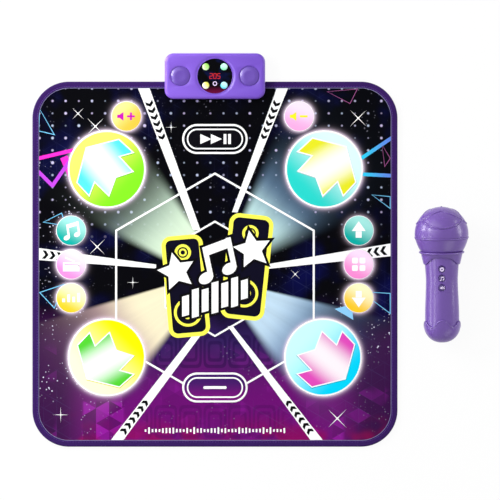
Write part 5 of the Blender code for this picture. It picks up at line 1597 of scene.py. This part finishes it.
def make_mic_collar(material):
    """Collar with a raised ring and a wavy lower edge."""
    low = COLLAR_TOP - 0.0200
    ring = arc(0.002, -90, 90, 8, (0.048, COLLAR_TOP - 0.002))
    skirt = []
    steps = 10
    for step in range(steps + 1):
        share = step / steps
        skirt.append((0.0403 + 0.0055 * share ** 0.9, low + 0.0008 + 0.0147 * share))
    profile = [(0.0378, low + 0.0004), (0.0388, low), (0.0399, low + 0.0002)] + skirt
    profile += [(0.0460, COLLAR_TOP - 0.0042)] + ring + [(0.0378, COLLAR_TOP)]

    def wave(angle, place):
        share = max(0.0, 1 - max(0, place - 3) / steps) if place < 3 + steps else 0.0
        turn = 2 * (angle + math.pi / 2)
        return COLLAR_WAVE * share * math.cos(turn - 0.4 * math.sin(2 * turn))

    shape = add_turned(bmesh.new(), profile, 128, ring=True, lift=wave)
    place_mic(make_piece("mic_collar_ring", shape, [material]), "microphone",
              "mic_collar")


def handle_radius(along):
    """Outer radius of the handle: waisted under the buttons and wider to both ends."""
    if along > 0.141:
        return 0.0350 + 0.0022 * ((along - 0.141) / 0.030) ** 1.1
    share = min((0.141 - along) / 0.085, 1.0)
    return 0.0350 + 0.0025 * (3 - 2 * share) * share ** 2


def make_mic_handle(material):
    """Front and back halves of the handle, with a dished well round each button."""
    low, high = 0.0309, COLLAR_TOP - CLEARANCE
    steps = 60
    segments = 128
    heights = [low + (high - low) * step / steps for step in range(steps + 1)]
    for name, turn, node in (("mic_grip_front", math.pi, "mic_handle_front"),
                             ("mic_grip_back", 0.0, "mic_handle_back")):
        margin = CLEARANCE / 2 / 0.035
        span = math.pi - 2 * margin
        angles = [turn + margin + span * step / segments for step in range(segments + 1)]
        loop = []
        for height in heights:
            radius = handle_radius(min(height, 0.173))
            outer = [(radius * math.cos(a), radius * math.sin(a), height) for a in angles]
            inner = [((radius - MIC_WALL) * math.cos(a), (radius - MIC_WALL) * math.sin(a), height)
                     for a in reversed(angles)]
            loop.append(outer + inner)
        shape = add_rows(bmesh.new(), loop, capped=True)
        half = make_piece(name, shape, [material], sharp=40)
        if turn:
            cut_mic_wells(half)
        place_mic(half, "microphone", node)


def button_matrix(along):
    return Matrix.Translation((0.0, 0.0, along)) @ Matrix.Rotation(math.pi / 2, 4, 'X')


def cut_mic_wells(half):
    """Cut a hole with a soft dish round it for each button."""
    cutters = bmesh.new()
    for _, along in MIC_BUTTONS:
        profile = beside(0.0, handle_radius(along), (0.0, -0.006), (0.0070, -0.006), (0.0070, -0.0018),
                         (0.0082, -0.0015), (0.0090, -0.0006), (0.0098, 0.002), (0.0, 0.002))
        before = len(cutters.verts)
        add_turned(cutters, profile, 48)
        cutters.verts.ensure_lookup_table()
        bmesh.ops.transform(cutters, matrix=button_matrix(along), verts=cutters.verts[before:])
    apply_cut(half, cutters)
    shade(half, 40)


def mic_icons():
    """Marks on the microphone's three buttons, in millimetres."""
    ring = [(circle(4.6, 32), [circle(2.0, 24)])]
    note = note_pair((0.0, 0.0), 8.6, 0.0)
    speaker = [box_outline(-4.4, -1.6, -1.8, 1.6),
               [(-2.0, -1.6), (1.0, -3.8), (1.0, 3.8), (-2.0, 1.6)], bar(1.1, 4.4, (2.7, 0.0)),
               bar(1.1, 7.0, (4.7, 0.0))]
    return {"upper": ring, "middle": note, "lower": speaker}


def make_mic_buttons(material):
    """Three round buttons with white marks."""
    white = ink("mic_icon_ink", (228, 214, 248))
    for name, along in MIC_BUTTONS:
        surface = handle_radius(along)
        top = surface - 0.0002
        profile = [(0.0, 0.0245), (0.0033, 0.0245), (0.0033, surface - 0.0045),
                   (0.0066, surface - 0.0045)]
        profile += beside(0.0066, top, (0.0, -0.0005), (-0.0002, -0.0002), (-0.0006, 0.0))
        profile.append((0.0, top))
        shape = add_turned(bmesh.new(), profile, 40)
        bmesh.ops.transform(shape, matrix=button_matrix(along), verts=shape.verts)
        button = make_piece(f"mic_key_{name}", shape, [material])
        place_mic(button, f"mic_button_{name}", f"mic_button_{name}")
        mark = add_shapes(bmesh.new(), mic_icons()[name], (0.0, 0.0), top - INK, top + INK)
        bmesh.ops.transform(mark, matrix=button_matrix(along), verts=mark.verts)
        icon = make_piece(f"mic_key_{name}_mark", mark, [white])
        lay_print(icon)
        place_mic(icon, f"mic_button_{name}")


def make_mic_cap(material):
    """Base cap with a domed end and a wavy upper lip."""
    bore = 0.0378
    outer = [(0.0, 0.0)]
    for step in range(1, 25):
        angle = math.pi / 2 * step / 24
        outer.append((MIC_CAP_RADIUS - MIC_CAP_ROUND * (1 - math.sin(angle)),
                      MIC_CAP_ROUND * (1 - math.cos(angle))))
    start = len(outer)
    lip = beside(MIC_CAP_RADIUS, CAP_HEIGHT, (0.0, -0.0032), (0.0007, -0.0024), (0.0007, -0.0012),
                 (0.0002, -0.0003), (-0.0004, 0.0))
    lip.append((bore, CAP_HEIGHT - 0.0002))
    inner = [(bore, 0.0306), (0.0333, 0.0306), (0.0333, 0.0211), (0.0, 0.0211)]
    profile = outer + lip + inner

    def wave(angle, place):
        if start <= place < start + len(lip):
            share = 1.0
        elif 12 < place < start:
            share = ((place - 12) / (start - 12)) ** 2.2
        else:
            share = 0.0
        turn = angle + math.pi / 2
        rise = CAP_FRONT_RISE * max(0.0, math.cos(turn))
        return share * (CAP_WAVE * math.cos(CAP_WAVES * turn) + rise)

    shape = add_turned(bmesh.new(), profile, 192, lift=wave)
    place_mic(make_piece("mic_end_cap", shape, [material]), "mic_base_cap",
              "mic_base_cap")


def make_microphone():
    """All pieces of the microphone that show."""
    purple = plastic("mic_purple", (103, 73, 154), 0.28)
    make_mic_head(purple)
    make_mic_cup(purple)
    make_mic_collar(purple)
    make_mic_handle(purple)
    make_mic_buttons(plastic("mic_button_purple", (64, 43, 108), 0.35))
    make_mic_cap(purple)


# Carried-over pieces, stage and light

def dress_cad():
    """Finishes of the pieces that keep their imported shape."""
    base = plastic("host_base_purple", (112, 78, 186), 0.45)
    metal = steel("zinc_steel")
    finishes = {
        "host_bottom_tub": base, "battery_door": base, "rubber_foot": rubber(),
        "display_module": plastic("module_black", (22, 22, 24), 0.4),
        "control_board": board_finish(), "speaker_cone": paper_cone(),
        "mic_capsule": steel("capsule_steel", (150, 150, 156)),
    }
    finishes["mic_board"] = finishes["control_board"]
    cell = cell_finish()
    for name in ("battery_front", "battery_middle", "battery_rear", "mic_battery"):
        finishes[name] = cell
    for name in ("mat_clamp_plate", "clamp_screw_left", "clamp_screw_right", "shell_screw_left",
                 "shell_screw_right", "battery_door_screw", "battery_contact_left",
                 "battery_contact_right", "speaker_basket"):
        finishes[name] = metal
    for name, material in finishes.items():
        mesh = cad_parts[name].data
        mesh.materials.clear()
        mesh.materials.append(material)


def make_floor():
    """White floor that the camera sees as white, but for a soft shadow of the object."""
    outline = box_outline(-6.0, -6.0, 6.0, 6.0)
    floor = make_object("floor", add_plate(bmesh.new(), outline, -0.02, -0.0004))
    g = Graph("floor_white", colour=(0.93, 0.93, 0.93, 1.0), roughness=0.9, specular=0.0)
    light = g.node('Emission', {'Strength': 1.0})
    surface = Field(g, g.shader.outputs[0])
    blend = g.node('MixShader', {0: g.seen() * 0.94, 1: surface, 2: light})
    g.feed(g.tree.nodes["Material Output"].inputs[0], blend)
    floor.data.materials.append(g.material)


WORLD_STRENGTH = 0.36


def make_world():
    """Soft white surroundings: white to the camera and in reflections, gentler as light."""
    world = bpy.data.worlds.new("studio")
    world.use_nodes = True
    bpy.context.scene.world = world
    g = Nodes(world.node_tree)
    background = g.tree.nodes["Background"].inputs
    g.feed(background['Color'], (1.0, 1.0, 1.0, 1.0))
    level = g.node('MapRange', {'Value': g.seen(), 'To Min': WORLD_STRENGTH, 'To Max': 1.0})
    g.feed(background['Strength'], level)


LIGHTS = {
    # place, the point it looks at, width and depth, power
    "key": ((-1.9, 1.7, 2.9), (0.1, 0.0, 0.0), (4.0, 4.2), 88.0),
    "fill": ((2.0, -2.2, 1.5), (0.1, 0.0, 0.0), (2.0, 1.6), 14.0),
    "strip_low_head": ((-2.2, 1.35, 0.22), (0.5, 1.35, 0.03), (1.6, 0.42), 50.0),
    "strip_high_head": ((-1.4, 1.05, 1.45), (0.5, 1.05, 0.03), (1.2, 0.28), 28.0),
    "strip_low_handle": ((-2.2, -0.55, 0.22), (0.5, -0.55, 0.03), (0.9, 0.34), 9.0),
    "strip_high_handle": ((-1.4, -0.55, 1.45), (0.5, -0.55, 0.03), (0.9, 0.28), 7.0),
    "strip_low_right": ((2.6, 0.9, 0.26), (0.5, 0.9, 0.03), (2.0, 0.46), 26.0),
}


def make_lights():
    """Soft lights from the rear left, and long strips for the streaks along the microphone."""
    for name, (place, aim, (width, depth), power) in LIGHTS.items():
        data = bpy.data.lights.new(name, 'AREA')
        data.shape = 'RECTANGLE'
        data.size = width
        data.size_y = depth
        data.energy = power
        light = bpy.data.objects.new(name, data)
        light.location = place
        light.rotation_euler = (Vector(aim) - Vector(place)).to_track_quat('-Z', 'Y').to_euler()
        bpy.context.scene.collection.objects.link(light)


def make_camera():
    """Camera over the middle of the photograph's view."""
    data = bpy.data.cameras.new("camera")
    data.sensor_width = CAMERA_SENSOR
    data.lens = CAMERA_SENSOR * CAMERA_DISTANCE / FRAME_WIDTH
    data.clip_start = 0.1
    data.clip_end = 200.0
    camera = bpy.data.objects.new("camera", data)
    camera.location = (*VIEW_CENTRE, KEY_TOP + CAMERA_DISTANCE)
    bpy.context.scene.collection.objects.link(camera)
    bpy.context.scene.camera = camera


def main():
    bpy.context.scene.view_settings.view_transform = 'Standard'
    make_camera()
    make_world()
    make_lights()
    make_floor()
    make_mat()
    white = ink("white_ink", (252, 252, 252))
    make_print(white)
    make_neon()
    make_level_row(white)
    make_centre()
    make_pads()
    make_round_keys()
    make_pills()
    make_host()
    make_microphone()
    dress_cad()
    bpy.context.view_layer.update()


main()
